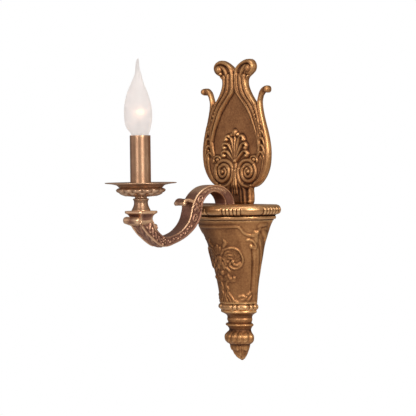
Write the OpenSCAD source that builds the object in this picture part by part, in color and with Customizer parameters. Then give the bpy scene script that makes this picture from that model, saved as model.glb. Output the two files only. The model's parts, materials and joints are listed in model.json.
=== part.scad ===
// Electric one-light wall sconce in antique brass: a half round bracket with a tulip shaped
// back plate, one scrolled arm, a drip pan and a candle tube with an E14 flame-tip bulb.
// The wall is the plane y = 0, the sconce stands out along -y, and +z is up.
// Places out from the wall are given as p, which is -y.

/* [Bracket] */
// Height of the bracket's top face above the middle of the wall screws
rim_z = 54; // [50:0.5:58]
// Radius of the round edge of the top moulding
rim_r = 74; // [72:0.2:76]
// Wall thickness of the bracket's castings
wall = 3; // [2:0.5:4]
// Thickness of the top plate
top_t = 4; // [3:0.5:5]

/* [Back plate] */
// Gap between the tulip plate and the wall
plate_gap = 3; // [1:0.5:4]
// Thickness of the plain part of the tulip plate
plate_t = 5; // [4:0.5:6]
// Height of the ribs and scrolls above the plain part
relief_t = 3.5; // [2:0.5:5]

/* [Arm] */
// Distance of the candle's axis from the wall
reach = 176.5; // [170:0.5:184]
// Width of the arm across its side faces
arm_w = 20; // [16:0.5:24]
// Width and height of the wire channel inside the arm
channel = [8, 5.2]; // [4:0.2:10]

/* [Candle] */
// Outer radius of the candle tube
tube_r = 13; // [12.6:0.1:14]
// Top of the candle tube
tube_top_z = 144.4; // [140:0.2:150]
// Radius of the drip pan
pan_r = 45; // [40:0.5:48]

/* [Bulb] */
// Largest radius of the bulb's glass
bulb_r = 17.5; // [16:0.5:18]
// Top of the bulb's flame tip
bulb_top_z = 241; // [236:0.5:246]
// Radius of the bulb's cap over its thread
cap_r = 6.95; // [6.8:0.01:6.98]

/* [Wall strap] */
// Distance between the two wall screws
screw_spacing = 60; // [50:1:64]
// Radius of the two wall screw holes
screw_hole_r = 2.75; // [2:0.25:3]
// Bore radius of the cable grommet
cable_r = 4; // [3:0.5:5]

/* [Hidden] */
$fn = 64;

antique = "#8a6236";
old_brass = "#a67c45";
satin = "#b08a55";
bronze = "#6f4d42";
steel = "#b9bcc0";
bakelite = "#2b2826";

eps = 0.05;                 // overshoot of a cut past the face that it opens
gap = 0.02;                 // gap between a thread or shank and its hole
top_z = rim_z - top_t;      // underside of the top plate
shell_r = 60;               // outer radius of the shell inside the moulding
shell_floor_z = -77;
ring_floor_z = -86;         // underside of the bead ring
tip_z = -154;               // lowest point of the finial
foot_p = 30;                // place of the arm's nipple
m10 = 4.95;                 // radius of the M10 threaded tubes
m10_bore = 3.7;
m4 = 2;
m3 = 1.5;
strap_t = 2;
strap_w = 25;
strap_foot = -70;           // height of the strap's lower end
shelf = [100, 17];          // width and depth of the strap's shelf
wire_r = 1.1;
wire_side = 1.5;            // each wire's distance from the middle plane inside the arm
pan_z = 79;                 // underside of the drip pan
spool_z = 50;               // top of the arm's capital
cup_z = 67.5;               // underside of the petal cup
holder_z = 84.2;            // underside of the lampholder
holder_top_z = 142;
partition_z = 116;          // upper face of the lampholder's inner wall
contact_z = 122;            // lowest point of the bulb
cap_z = 125;                // lower edge of the bulb's cap
cap_top_z = 143;
bulb_gap = 0.05;            // gap between the button and the rest of the bulb
poles = [-9, 0, 9];         // x of the terminal block's poles: live, earth, neutral
pole_p = 9;
block = [30, 13.8, 18];     // width, depth and height of the terminal block
block_z = -62;
plate_screw = [16, 7];      // x and p of the screws in the back plate's foot
hanger = [40, 9.5];         // x and p of the screws in the strap's shelf
boss = [44, 30];            // x and p of the shell's screw bosses

// ---- Curves ----

// Point at t between b and c on a smooth curve through a, b, c and d
function curve(a, b, c, d, t) =
    (2 * b + (c - a) * t + (2 * a - 5 * b + 4 * c - d) * t * t
     + (3 * b - a - 3 * c + d) * t * t * t) / 2;

// A smooth line through pts with n steps between neighbours
function smooth(pts, n) = concat(
    [for (i = [0 : len(pts) - 2], k = [0 : n - 1])
        curve(pts[max(i - 1, 0)], pts[i], pts[i + 1], pts[min(i + 2, len(pts) - 1)], k / n)],
    [pts[len(pts) - 1]]);

function reversed(list) = [for (i = [len(list) - 1 : -1 : 0]) list[i]];
function mirrored(pts) = concat(pts, [for (q = reversed(pts)) if (q.x > 0) [-q.x, q.y]]);
function unit(v) = v / norm(v);

// Left hand normal of a flat line of [p, z, half] at point i
function normal_at(line, i) =
    let (a = line[max(i - 1, 0)], b = line[min(i + 1, len(line) - 1)],
         t = unit([b[0] - a[0], b[1] - a[1]]))
    [-t.y, t.x];

// Outline of a band along a line of [p, z, half]; with width given, half is that
function band(line, width = 0) =
    let (n = [for (i = [0 : len(line) - 1]) normal_at(line, i)],
         h = [for (q = line) width > 0 ? width / 2 : q[2]])
    concat([for (i = [0 : len(line) - 1]) [line[i][0], line[i][1]] + n[i] * h[i]],
           [for (i = reversed([for (k = [0 : len(line) - 1]) k]))
               [line[i][0], line[i][1]] - n[i] * h[i]]);

// ---- Shapes shared by several pieces ----

// Half of a solid of revolution, standing on the wall
module half_round() {
    rotate([0, 0, 180])
        rotate_extrude(angle = 180)
            children();
}

// A solid of revolution about the candle's axis
module on_candle() {
    translate([0, -reach, 0])
        rotate_extrude()
            children();
}

// An outline in p and z, as thick as w across x
module side_cut(outline, w) {
    rotate([90, 0, -90])
        linear_extrude(w, center = true)
            polygon(outline);
}

// A cylinder that points away from the wall, from p0 to p1
module out_pin(x, z, r, p0, p1) {
    translate([x, -p0, z])
        rotate([90, 0, 0])
            cylinder(r = r, h = p1 - p0);
}

// An upright cylinder at x and p, from z0 to z1
module post(x, p, r, z0, z1) {
    translate([x, -p, z0])
        cylinder(r = r, h = z1 - z0);
}

module hex_nut(p, flats, z0, h) {
    difference() {
        translate([0, -p, z0])
            cylinder(r = flats / sqrt(3), h = h, $fn = 6);
        post(0, p, m10 + gap, z0 - 1, z0 + h + 1);
    }
}

// Countersunk screw whose head lies flush with z1
module sunk_screw(x, p, z0, z1) {
    head_h = 2.2;
    union() {
        post(x, p, m4 - gap, z0, z1 - head_h);
        translate([x, -p, z1 - head_h])
            cylinder(r1 = m4 - gap, r2 = 2 * m4 - gap, h = head_h);
    }
}

module sunk_hole(x, p, z0, z1) {
    head_h = 2.2;
    post(x, p, m4 + gap, z0, z1);
    translate([x, -p, z1 - head_h])
        cylinder(r1 = m4 + gap, r2 = 2 * m4 + gap, h = head_h);
    post(x, p, 2 * m4 + gap, z1 - eps, z1 + 1);
}

// Round tube of radius r along route, a list of [x, p, z]
module swept(route, r) {
    sides = 8;
    last = len(route) - 1;
    pts = [for (q = route) [q[0], -q[1], q[2]]];
    rings = [for (i = [0 : last])
        let (t = unit(pts[min(i + 1, last)] - pts[max(i - 1, 0)]),
             u = unit([1, 0, 0] - t * t.x),
             v = cross(t, u))
        for (k = [0 : sides - 1])
            pts[i] + r * (cos(360 * k / sides) * u + sin(360 * k / sides) * v)];
    skin = [for (i = [0 : last - 1], k = [0 : sides - 1])
        let (a = i * sides, b = a + sides, j = (k + 1) % sides)
        [a + k, b + k, b + j, a + j]];
    ends = [[for (k = [0 : sides - 1]) k],
            [for (k = [sides - 1 : -1 : 0]) last * sides + k]];
    polyhedron(rings, concat(skin, ends));
}

// ---- Bracket ----

// Outer radius and z of the shell from its floor up to the moulding
shell_line = smooth([[29, shell_floor_z], [29.3, -69], [31, -57], [33.5, -43], [37, -28],
                     [40.6, -14], [44, 0], [49, 12.5], [55, 26], [59, 32.5], [shell_r, 37]], 3);

module bracket_shell() {
    color(antique)
    difference() {
        union() {
            half_round()
                polygon(concat([[0, shell_floor_z]], shell_line, [[shell_r, top_z],
                        [shell_r - wall, top_z]],
                        [for (q = reversed(shell_line)) if (q.y > shell_floor_z + wall)
                            [q.x - wall, q.y]],
                        [[29 - wall, shell_floor_z + wall], [0, shell_floor_z + wall]]));
            intersection() {
                for (s = [-1, 1])
                    post(s * boss.x, boss.y, 5, top_z - 13, top_z);
                half_round()
                    square([shell_r - wall / 2, top_z]);
            }
        }
        for (s = [-1, 1])
            post(s * boss.x, boss.y, m4 + gap, top_z - 14, top_z + 1);
        post(0, 10, 2.6, shell_floor_z - 1, shell_floor_z + wall + 1);
    }
}

module rim_collar() {
    lip_r = 66.2;
    color(old_brass)
    half_round()
        polygon(concat(
            [[shell_r + 0.1, rim_z - 21], [61.5, rim_z - 21], [63, rim_z - 18.6],
             [66, rim_z - 17.6], [69.4, rim_z - 12.2], [69.4, rim_z - 10.8]],
            [for (a = [-75 : 15 : 75]) [rim_r - 5.2 + 5.2 * cos(a), rim_z - 5.8 + 5.2 * sin(a)]],
            [[lip_r + 4.4, rim_z], [lip_r, rim_z], [lip_r, top_z], [shell_r + 0.1, top_z]]));
}

module top_plate() {
    color(antique)
    difference() {
        half_round()
            translate([0, top_z])
                square([66, top_t]);
        post(0, foot_p, m10 + 0.15, top_z - 1, rim_z + 1);
        for (s = [-1, 1]) {
            sunk_hole(s * hanger.x, hanger.y, top_z - 1, rim_z);
            sunk_hole(s * boss.x, boss.y, top_z - 1, rim_z);
            post(s * plate_screw.x, plate_screw.y, m4 + gap, top_z - 1, rim_z + 1);
        }
    }
}

module bead_ring() {
    bead = [26.4, -81.3];
    color(old_brass)
    difference() {
        half_round()
            polygon(concat([[0, ring_floor_z], [28, ring_floor_z]],
                [for (a = [-75 : 15 : 75]) bead + 4.6 * [cos(a), sin(a) * 0.9]],
                [[27, shell_floor_z], [0, shell_floor_z]]));
        post(0, 10, 2.6, ring_floor_z - 1, shell_floor_z + 1);
    }
}

module finial() {
    line = smooth([[27, ring_floor_z - 1], [25, -90], [19.6, -94.5], [18.2, -101], [18.6, -103.5],
                   [20.8, -106], [18.4, -108.8], [17, -112], [18.6, -116], [22.4, -121],
                   [21.6, -127], [17.8, -132.5], [14.6, -138], [12, -143.5], [8.4, -148.8],
                   [3.6, -152.9]], 3);
    color(antique)
    difference() {
        half_round()
            polygon(concat([[0, ring_floor_z], [27, ring_floor_z]], line, [[0, tip_z]]));
        post(0, 10, 2.5 + gap, -106, ring_floor_z + 1);
    }
}

module finial_screw() {
    color(steel)
    union() {
        post(0, 10, 2.5, -104, shell_floor_z + wall);
        post(0, 10, 4.7, shell_floor_z + wall, shell_floor_z + wall + 3.4);
    }
}

module shell_screws() {
    color(steel)
    for (s = [-1, 1])
        sunk_screw(s * boss.x, boss.y, top_z - 12, rim_z);
}

// ---- Back plate ----

// Right half of the tulip outline, from the foot up to the notch between the volutes
foot_half = smooth([[26.5, rim_z], [26, 62], [26.5, 70], [29, 75]], 2);
belly_half = smooth([[29, 75], [38, 77], [47, 83], [55, 92.5], [60, 104], [61.8, 118],
                     [61, 131], [57.6, 146], [52.6, 161], [48.6, 175], [47, 187], [49, 195]], 3);
horn_half = smooth([[49, 195], [53.5, 199.6], [59.5, 200.6], [62.2, 203.6], [58.5, 206.9],
                    [51.5, 206.4], [45.6, 201.4], [42.6, 193.5], [39.2, 185]], 3);
volute_half = smooth([[39.2, 185], [33.5, 191], [26.5, 201], [22.2, 211], [23.4, 219],
                      [29.5, 223.6], [35.4, 228.4], [37, 234.8], [33.8, 240.8], [27.5, 243.8],
                      [19.5, 242.8], [10.5, 238.6], [4, 234], [0, 229.5]], 3);
tulip_half = concat(foot_half, belly_half, horn_half, volute_half);

// Right half of the plain field between the ribbons
field_half = smooth([[0, 100], [14, 103], [32, 106], [41, 116], [43, 130], [38, 150],
                     [26, 174], [12, 191], [0, 198]], 4);

module back_plate() {
    color(antique)
    difference() {
        translate([0, -plate_gap, 0])
            rotate([90, 0, 0]) {
                linear_extrude(plate_t + 1)
                    polygon(mirrored(tulip_half));
                difference() {
                    linear_extrude(plate_t + relief_t)
                        polygon(mirrored([for (q = tulip_half) [q.x * 0.94, q.y]]));
                    translate([0, 0, plate_t])
                        linear_extrude(relief_t + 1)
                            polygon(mirrored(field_half));
                }
                // palmette in the field and the two spirals under it
                for (a = [-60 : 30 : 60])
                    translate([0, 118, 0])
                        rotate([0, 0, a])
                            translate([0, 20, 0])
                                cylinder(r = 5, h = plate_t + relief_t - 1);
                for (s = [-1, 1])
                    translate([s * 23, 98, 0])
                        cylinder(r = 9, h = plate_t + relief_t + 1);
            }
        for (s = [-1, 1])
            post(s * plate_screw.x, plate_screw.y, m4 + gap, rim_z - 1, rim_z + 12);
    }
}

module plate_screws() {
    color(steel)
    for (s = [-1, 1])
        union() {
            post(s * plate_screw.x, plate_screw.y, m4 - gap, top_z, rim_z + 10);
            post(s * plate_screw.x, plate_screw.y, 3.6, top_z - 2.6, top_z);
        }
}

// ---- Wall strap and supply ----

module wall_strap() {
    color(steel)
    difference() {
        translate([-strap_w / 2, -strap_t, strap_foot])
            cube([strap_w, strap_t, top_z - strap_t - strap_foot]);
        for (s = [-1, 1])
            out_pin(0, s * screw_spacing / 2, screw_hole_r, -1, strap_t + 1);
        out_pin(0, 0, 8, -1, strap_t + 1);
        out_pin(0, 16.5, m4, -1, strap_t + 1);
        out_pin(4.5, block_z + block.z / 2, m3, -1, strap_t + 1);
    }
}

// Shelf welded on the strap's upper end, which the top plate is screwed to
module strap_shelf() {
    color(steel)
    difference() {
        translate([-shelf.x / 2, -shelf.y, top_z - strap_t])
            cube([shelf.x, shelf.y, strap_t]);
        for (s = [-1, 1]) {
            post(s * hanger.x, hanger.y, m4 + gap, top_z - 3, top_z + 1);
            post(s * plate_screw.x, plate_screw.y, 4.4, top_z - 3, top_z + 1);
        }
    }
}

module hanger_screws() {
    color(steel)
    for (s = [-1, 1])
        sunk_screw(s * hanger.x, hanger.y, top_z - 9, rim_z);
}

module cable_grommet() {
    flange_r = 10;
    color("#1d1c1b")
    rotate([90, 0, 0])
        rotate_extrude()
            polygon([[cable_r, 0.2], [8 - gap, 0.2], [8 - gap, strap_t + gap],
                     [flange_r, strap_t + gap], [flange_r - 0.6, 4.6], [cable_r + 0.8, 5.2],
                     [cable_r, 5.2]]);
}

module terminal_block() {
    color("#e8e4da")
    difference() {
        translate([-block.x / 2, -strap_t - block.y, block_z])
            cube(block);
        for (x = poles) {
            post(x, pole_p, 2.7, block_z - 1, block_z + block.z + 1);
            for (z = [4, block.z - 4])
                out_pin(x, block_z + z, m3 + gap, pole_p, strap_t + block.y + 1);
        }
        out_pin(4.5, block_z + block.z / 2, m3 + gap, 0, strap_t + block.y + 1);
    }
}

module terminal_sleeves() {
    color("gold")
    for (x = poles)
        difference() {
            post(x, pole_p, 2.68, block_z + 1, block_z + block.z - 1);
            post(x, pole_p, 1.6, block_z, block_z + block.z);
            for (z = [4, block.z - 4])
                out_pin(x, block_z + z, m3, pole_p, pole_p + 4);
        }
}

module terminal_screws() {
    color(steel)
    for (x = poles, z = [4, block.z - 4])
        out_pin(x, block_z + z, m3 - gap, pole_p + wire_r + 0.05, strap_t + block.y - 0.8);
}

module block_screw() {
    front = strap_t + block.y;
    color(steel)
    union() {
        out_pin(4.5, block_z + block.z / 2, m3 - gap, 0.2, front);
        out_pin(4.5, block_z + block.z / 2, 2.6, front, front + 1.8);
    }
}

module earth_screw() {
    color(steel)
    union() {
        out_pin(0, 16.5, m4 - gap, 0.2, strap_t + 4.6);
        out_pin(0, 16.5, 4, strap_t + 2.3, strap_t + 4.6);
    }
}

// ---- Wires ----

// Middle line of the arm with its half thickness, [p, z, half]
arm_path = [[29, 51.5, 8.6], [30.2, 58.5, 8.3], [34.5, 66, 7.2], [43.5, 72.6, 5.8],
            [57, 75.4, 4.7], [70.5, 72.2, 5.6], [81.5, 64, 7], [87.5, 54, 8.6], [90, 43.5, 9.3],
            [95.2, 33.5, 8], [103.8, 24.5, 6.6], [116, 16.8, 5.6], [130, 12, 5.6],
            [143, 9.8, 6.4], [153, 13.5, 6.5], [162, 20.2, 7], [170.3, 28.6, 8.6],
            [175.5, 37, 10.4]];

// Stretch of both wires inside the arm and up to the lampholder, at x from the middle plane
function through_arm(x) = concat(
    [[x, foot_p, 44], [x, foot_p, 51]],
    [for (i = [1 : len(arm_path) - 2]) [x, arm_path[i][0], arm_path[i][1]]],
    [[x, 175.2, 37.5], [x, reach, 46], [x, reach, 60], [x, reach, 76], [x, reach, 92]],
    [[2.4 * x, reach, 98], [3.35 * x, reach, 103], [3.35 * x, reach, 108]]);

module core_wire(side) {
    start = [[9 * side, pole_p, -50], [9 * side, pole_p, -40], [8.4 * side, 12, -25],
             [7 * side, 17, -6], [4.6 * side, 23, 14], [2.4 * side, 28, 31]];
    swept(smooth(concat(start, through_arm(side * wire_side)), 3), wire_r);
}

module live_wire() {
    color("#7a4a2a") core_wire(-1);
}

module neutral_wire() {
    color("#2f5f9e") core_wire(1);
}

module earth_wire() {
    color("#5f9e3a")
    swept(smooth([[0, pole_p, -50], [0, pole_p, -38], [3, 10, -26], [9, 10.5, -12], [11.6, 9, 2],
                  [9, 5.6, 11.5], [4.2, 3.2, 15.4], [2.6, 3.2, 16.5]], 3), wire_r);
}

// ---- Arm ----

// Leaf that curls off the arm where its two bends meet
leaf_curl = smooth([[92, 52.5], [96, 55.8], [101.5, 57.4], [106.5, 56.8], [110, 55], [111.6, 57.4],
                    [109, 60.8], [103.5, 62.2], [97, 61.6], [91, 58.6]], 3);

module arm() {
    line = smooth(arm_path, 4);
    capital_w = 30;
    color(bronze)
    difference() {
        union() {
            side_cut(band(line), arm_w);
            side_cut(leaf_curl, arm_w * 0.8);
            // clasp at the change of bend and rosette at the low point
            translate([-arm_w / 2 - 0.8, -100, 44])
                cube([arm_w + 1.6, 18, 9]);
            translate([-arm_w / 2 - 1, -149, 5])
                cube([arm_w + 2, 9, 10]);
            // capital: square body, abacus, front roll and the small curl behind it
            translate([-11, -reach - 11, 34])
                cube([22, 22, 14]);
            translate([-capital_w / 2, -reach - capital_w / 2, 46.8])
                cube([capital_w, capital_w, spool_z - 46.8]);
            translate([-13, -191.8, 37.6])
                rotate([0, 90, 0])
                    cylinder(r = 5, h = 26);
            translate([-9, -160.6, 29.4])
                rotate([0, 90, 0])
                    cylinder(r = 3, h = 18);
        }
        side_cut(band([for (q = line) if (q[1] < 36 || q[0] < 100) q], channel.y), channel.x);
        // flat foot on the top plate
        translate([-arm_w, -50, rim_z - 6])
            cube([2 * arm_w, 40, 6]);
        post(0, foot_p, m10 + gap, rim_z - 1, 60);
        post(0, reach, m10 + gap, 38, spool_z + 1);
        translate([-channel.x / 2, -reach - 2.6, 32])
            cube([channel.x, 5.2, 8]);
    }
}

module arm_nipple() {
    color("gold")
    difference() {
        post(0, foot_p, m10, 43, 59.5);
        post(0, foot_p, m10_bore, 42, 61);
    }
}

module arm_washer() {
    color(steel)
    difference() {
        post(0, foot_p, 10, top_z - 1.5, top_z);
        post(0, foot_p, m10 + 0.25, top_z - 3, top_z + 1);
    }
}

module arm_nut() {
    color("gold") hex_nut(foot_p, 14, top_z - 5.7, 4.2);
}

// ---- Candle column ----

module spool() {
    color(satin)
    on_candle()
        polygon(concat([[m10 + 0.15, spool_z], [11.8, spool_z]],
            smooth([[11.8, 51.6], [10.6, 54], [9, 57.4], [8.7, 60.6], [9.6, 63.6]], 4),
            [[10.2, 64.2], [10.2, 65.4], [7.6, 65.6], [7.4, cup_z], [m10 + 0.15, cup_z]]));
}

module petal_cup() {
    outer = smooth([[9, cup_z], [17, 69], [24.5, 71.4], [29, 74], [31, 76.2], [29.4, 78.2],
                    [26.6, pan_z]], 4);
    color(old_brass)
    on_candle()
        polygon(concat([[m10 + 0.15, cup_z]], outer, [[m10 + 0.15, pan_z]]));
}

module drip_pan() {
    line = smooth([[26, pan_z], [28.4, 80.4], [32.5, 82.6], [38, 83.7], [pan_r - 0.4, 84.4]], 4);
    t = 1;
    color(satin)
    on_candle()
        polygon(concat([[m10 + 0.15, pan_z]], line, [[pan_r, 85], [pan_r - 0.6, 85.4]],
            [for (q = reversed(line)) [q.x - 0.3, q.y + t]], [[m10 + 0.15, pan_z + t]]));
}

module candle_nipple() {
    color("gold")
    difference() {
        post(0, reach, m10, 39, 93);
        post(0, reach, m10_bore, 38, 94);
    }
}

module pan_nut() {
    color("gold") hex_nut(reach, 14, pan_z + 1, 4);
}

module candle_tube() {
    color(satin)
    on_candle()
        polygon([[tube_r - 0.7, pan_z + 1.1], [tube_r, pan_z + 1.1],
                 [tube_r, tube_top_z], [tube_r - 0.7, tube_top_z]]);
}

// ---- Lampholder ----

module lampholder_body() {
    body_r = tube_r - 1.3;
    color(bakelite)
    difference() {
        on_candle()
            polygon([[m10 + gap, holder_z], [8.6, holder_z], [8.6, 92], [body_r, 94],
                     [body_r, holder_top_z], [8.3, holder_top_z], [8.3, partition_z],
                     [0, partition_z], [0, 112], [9.4, 112], [9.4, 96], [m10 + gap, 94]]);
        for (s = [-1, 1]) {
            post(s * 5, reach, 1.4, 110, partition_z + 1);
            translate([s * 7, -reach, 106])
                rotate([0, 90 * s, 0])
                    cylinder(r = 2.2, h = 6);
        }
    }
}

module holder_terminals() {
    color("gold")
    for (s = [-1, 1])
        difference() {
            post(s * 5, reach, 2.6, 101.5, 112);
            post(s * 5, reach, 1.4, 101, 110);
            translate([s * 5, -reach, 106])
                rotate([0, 90 * s, 0])
                    cylinder(r = m3, h = 4);
        }
}

module holder_screws() {
    color(steel)
    for (s = [-1, 1])
        translate([s * 6.3, -reach, 106])
            rotate([0, 90 * s, 0])
                cylinder(r = m3 - gap, h = 4.6);
}

module screw_shell() {
    color("gold")
    on_candle()
        polygon([[5.4, partition_z + 0.1], [8.2, partition_z + 0.1], [8.2, partition_z + 1],
                 [7.6, partition_z + 1.4], [7.6, holder_top_z - 0.6],
                 [cap_r + 0.15, holder_top_z - 0.6], [cap_r + 0.15, partition_z + 1.4],
                 [5.4, partition_z + 0.9]]);
}

// Sprung button under the bulb
module centre_contact() {
    color("gold")
    on_candle()
        polygon([[0, partition_z + 2], [3.4, partition_z + 2], [3.4, partition_z + 3],
                 [2.2, partition_z + 3.6], [2.2, contact_z - 0.6], [1.6, contact_z - 0.1],
                 [0, contact_z - 0.1]]);
}

// ---- Bulb ----

// Radius and z of the glass from its neck to where the hollow ends under the tip
glass_line = smooth([[10.4, cap_top_z + 1], [11.6, 147], [14, 151.3], [15.6, 155.5], [17.1, 161],
                     [bulb_r, 168], [bulb_r, 175], [16.9, 181.5], [15.2, 189.5], [12.6, 198.5],
                     [9.3, 206.5], [6.2, 214.5], [4, 221.5]], 3);

// Height of the glowing coil
coil_z = 173.4;

module bulb_glass() {
    glass_t = 0.8;
    color("white", 0.6)
    on_candle()
        polygon(concat([[7.4, cap_top_z]], glass_line,
            smooth([[4, 221.5], [2.6, 229], [2.1, 234], [1.5, bulb_top_z - 1.2],
                    [0, bulb_top_z]], 3),
            [[0, 220.9]],
            [for (q = reversed(glass_line)) [q.x - glass_t, q.y]],
            [[6.6, cap_top_z + 0.4], [6.6, cap_top_z]]));
}

module bulb_cap() {
    color("silver")
    on_candle()
        polygon([[5, cap_z], [6.1, cap_z], [cap_r, cap_z + 1.6], [cap_r, cap_top_z - 1.4],
                 [7.4, cap_top_z], [6.6, cap_top_z], [6.4, cap_top_z - 1.4],
                 [6.4, cap_z + 1.8], [5, cap_z + 0.6]]);
}

module bulb_insulator() {
    color(bakelite)
    on_candle()
        polygon([[0, contact_z + 0.7 + bulb_gap], [3.4, contact_z + 0.7 + bulb_gap],
                 [6, cap_z], [5, cap_z], [5, cap_z + 0.5], [0, cap_z + 0.5]]);
}

module bulb_tip_contact() {
    color("silver")
    on_candle()
        polygon([[0, contact_z], [1.8, contact_z], [2.8, contact_z + 0.5],
                 [2.8, contact_z + 0.7], [0, contact_z + 0.7]]);
}

module bulb_stem() {
    color("#dfe7ea", 0.7)
    on_candle()
        polygon([[0, 141], [4, 141], [6.3, cap_top_z + 0.4], [6.3, cap_top_z + 1.2],
                 [4, 143.4], [2.2, 147], [1.8, 158], [0, 159]]);
}

module filament() {
    color("#8a8a88")
    union() {
        for (s = [-1, 1])
            post(s * 1.2, reach, 0.25, 158.4, coil_z - 4.4);
        for (s = [-1, 1])
            translate([s * 1.2, -reach, coil_z - 4.4])
                rotate([0, 50 * s, 0])
                    cylinder(r = 0.25, h = 7);
        translate([-6.4, -reach, coil_z])
            rotate([0, 90, 0])
                cylinder(r = 0.6, h = 12.8);
    }
}

back_plate();
top_plate();
rim_collar();
bracket_shell();
bead_ring();
finial();
wall_strap();
strap_shelf();
hanger_screws();
shell_screws();
plate_screws();
finial_screw();
cable_grommet();
terminal_block();
terminal_sleeves();
terminal_screws();
block_screw();
earth_screw();
live_wire();
neutral_wire();
earth_wire();
arm();
arm_nipple();
arm_washer();
arm_nut();
spool();
petal_cup();
drip_pan();
candle_nipple();
pan_nut();
lampholder_body();
holder_terminals();
holder_screws();
screw_shell();
centre_contact();
candle_tube();
bulb_glass();
bulb_cap();
bulb_insulator();
bulb_tip_contact();
bulb_stem();
filament();
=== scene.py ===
import json
import math

import bmesh
import bpy
import numpy as np
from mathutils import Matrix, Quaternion, Vector


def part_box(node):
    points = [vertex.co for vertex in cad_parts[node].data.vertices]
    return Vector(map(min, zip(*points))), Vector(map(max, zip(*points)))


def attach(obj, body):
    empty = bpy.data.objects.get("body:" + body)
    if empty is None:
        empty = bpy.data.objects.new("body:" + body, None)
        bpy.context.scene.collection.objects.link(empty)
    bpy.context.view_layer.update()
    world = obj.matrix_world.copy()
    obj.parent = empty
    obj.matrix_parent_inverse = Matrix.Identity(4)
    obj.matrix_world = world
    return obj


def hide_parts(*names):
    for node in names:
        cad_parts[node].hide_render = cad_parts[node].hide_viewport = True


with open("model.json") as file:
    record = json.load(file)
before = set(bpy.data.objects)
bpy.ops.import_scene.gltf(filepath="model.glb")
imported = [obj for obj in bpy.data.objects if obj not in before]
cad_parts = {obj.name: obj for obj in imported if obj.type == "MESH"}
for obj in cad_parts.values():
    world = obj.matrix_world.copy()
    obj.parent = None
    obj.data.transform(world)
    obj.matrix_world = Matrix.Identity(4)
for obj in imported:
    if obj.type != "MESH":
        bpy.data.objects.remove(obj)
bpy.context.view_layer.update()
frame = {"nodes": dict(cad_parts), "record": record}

# The shapes below are written in millimetres. x is across the wall, p is out from it and z is up.
MM = 0.001
PI = math.pi


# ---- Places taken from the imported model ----

def corners(node):
    """Lowest and highest corner of a CAD node in mm, as (x, p, z) with p out from the wall."""
    low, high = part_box(node)
    return (np.array([low[0], -high[1], low[2]]) / MM, np.array([high[0], -low[1], high[2]]) / MM)


PLATE_LOW, _ = corners("back_plate")
_, TOP_HIGH = corners("top_plate")
SHELL_LOW, SHELL_HIGH = corners("bracket_shell")
RING_LOW, RING_HIGH = corners("bead_ring")
FINIAL_LOW, _ = corners("finial")
SPOOL_LOW, _ = corners("spool")
PAN_LOW, PAN_HIGH = corners("drip_pan")
CUP_LOW, _ = corners("petal_cup")
TUBE_LOW, TUBE_HIGH = corners("candle_tube")
GLASS_LOW, GLASS_HIGH = corners("bulb_glass")

RIM_Z = TOP_HIGH[2]                              # top face of the bracket
CANDLE_P = (TUBE_LOW[1] + TUBE_HIGH[1]) / 2      # the candle's axis, out from the wall
PLATE_P = PLATE_LOW[1]                           # back of the tulip plate
RNG = np.random.default_rng(7)

# Pieces that come within this many mm of the wall have a flat back of one even shade
WALL_REACH, BACK_SHADE = 4, 0.42


# ---- Curves, heights and meshes ----

def smooth_line(points, steps=6):
    """Smooth curve through points, which may carry more columns than their place."""
    pts = np.array(points, float)
    last = len(pts) - 1
    out = []
    for i in range(last):
        a, b, c, d = pts[max(i - 1, 0)], pts[i], pts[i + 1], pts[min(i + 2, last)]
        for t in np.arange(steps) / steps:
            out.append((2 * b + (c - a) * t + (2 * a - 5 * b + 4 * c - d) * t ** 2
                        + (3 * b - a - 3 * c + d) * t ** 3) / 2)
    return np.array(out + [pts[last]])


def directions(points):
    """Unit direction of a line at each of its points."""
    way = np.gradient(points, axis=0)
    return way / np.linalg.norm(way, axis=1)[:, None]


def line_field(u, w, line):
    """Distance of each point from a line, and the place along it from 0 to 1."""
    best = np.full(u.shape, 1e9)
    place = np.zeros(u.shape)
    for i in range(len(line) - 1):
        a, b = line[i, :2], line[i + 1, :2]
        ab = b - a
        t = np.clip(((u - a[0]) * ab[0] + (w - a[1]) * ab[1]) / max(ab @ ab, 1e-9), 0, 1)
        d = np.hypot(u - a[0] - t * ab[0], w - a[1] - t * ab[1])
        near = d < best
        best = np.where(near, d, best)
        place = np.where(near, (i + t) / (len(line) - 1), place)
    return best, place


def inside(u, w, outline):
    """True where a point is inside a closed outline."""
    result = np.zeros(u.shape, bool)
    for a, b in zip(outline, np.roll(outline, -1, axis=0)):
        crosses = (a[1] > w) != (b[1] > w)
        at = a[0] + (w - a[1]) * (b[0] - a[0]) / (b[1] - a[1] + 1e-12)
        result ^= crosses & (u < at)
    return result


def signed_field(u, w, outline):
    """Distance from a closed outline, negative inside it."""
    loop = np.vstack([outline, outline[:1]])
    distance, _ = line_field(u, w, loop)
    return np.where(inside(u, w, outline), -distance, distance)


def smoothstep(x, low, high):
    """0 at low, 1 at high and smooth between; low may be the greater."""
    t = np.clip((x - low) / (high - low), 0, 1)
    return t * t * (3 - 2 * t)


def blurred(values, sigma):
    """Gaussian blur of a grid, sigma in cells."""
    pad = int(3 * sigma) + 2
    wide = np.pad(values, pad, mode="edge")
    for axis in (0, 1):
        f = np.fft.rfftfreq(wide.shape[axis])
        shape = [1, 1]
        shape[axis] = -1
        gain = np.exp(-2 * (PI * sigma * f) ** 2).reshape(shape)
        wide = np.fft.irfft(np.fft.rfft(wide, axis=axis) * gain, wide.shape[axis], axis=axis)
    return wide[pad:-pad, pad:-pad]


PROFILES = {
    "round": lambda q: np.sqrt(np.clip(1 - q * q, 0, 1)),
    "soft": lambda q: (1 - q * q) ** 2,
    "band": lambda q: np.clip(1 - q ** 5, 0, 1),
}


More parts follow.
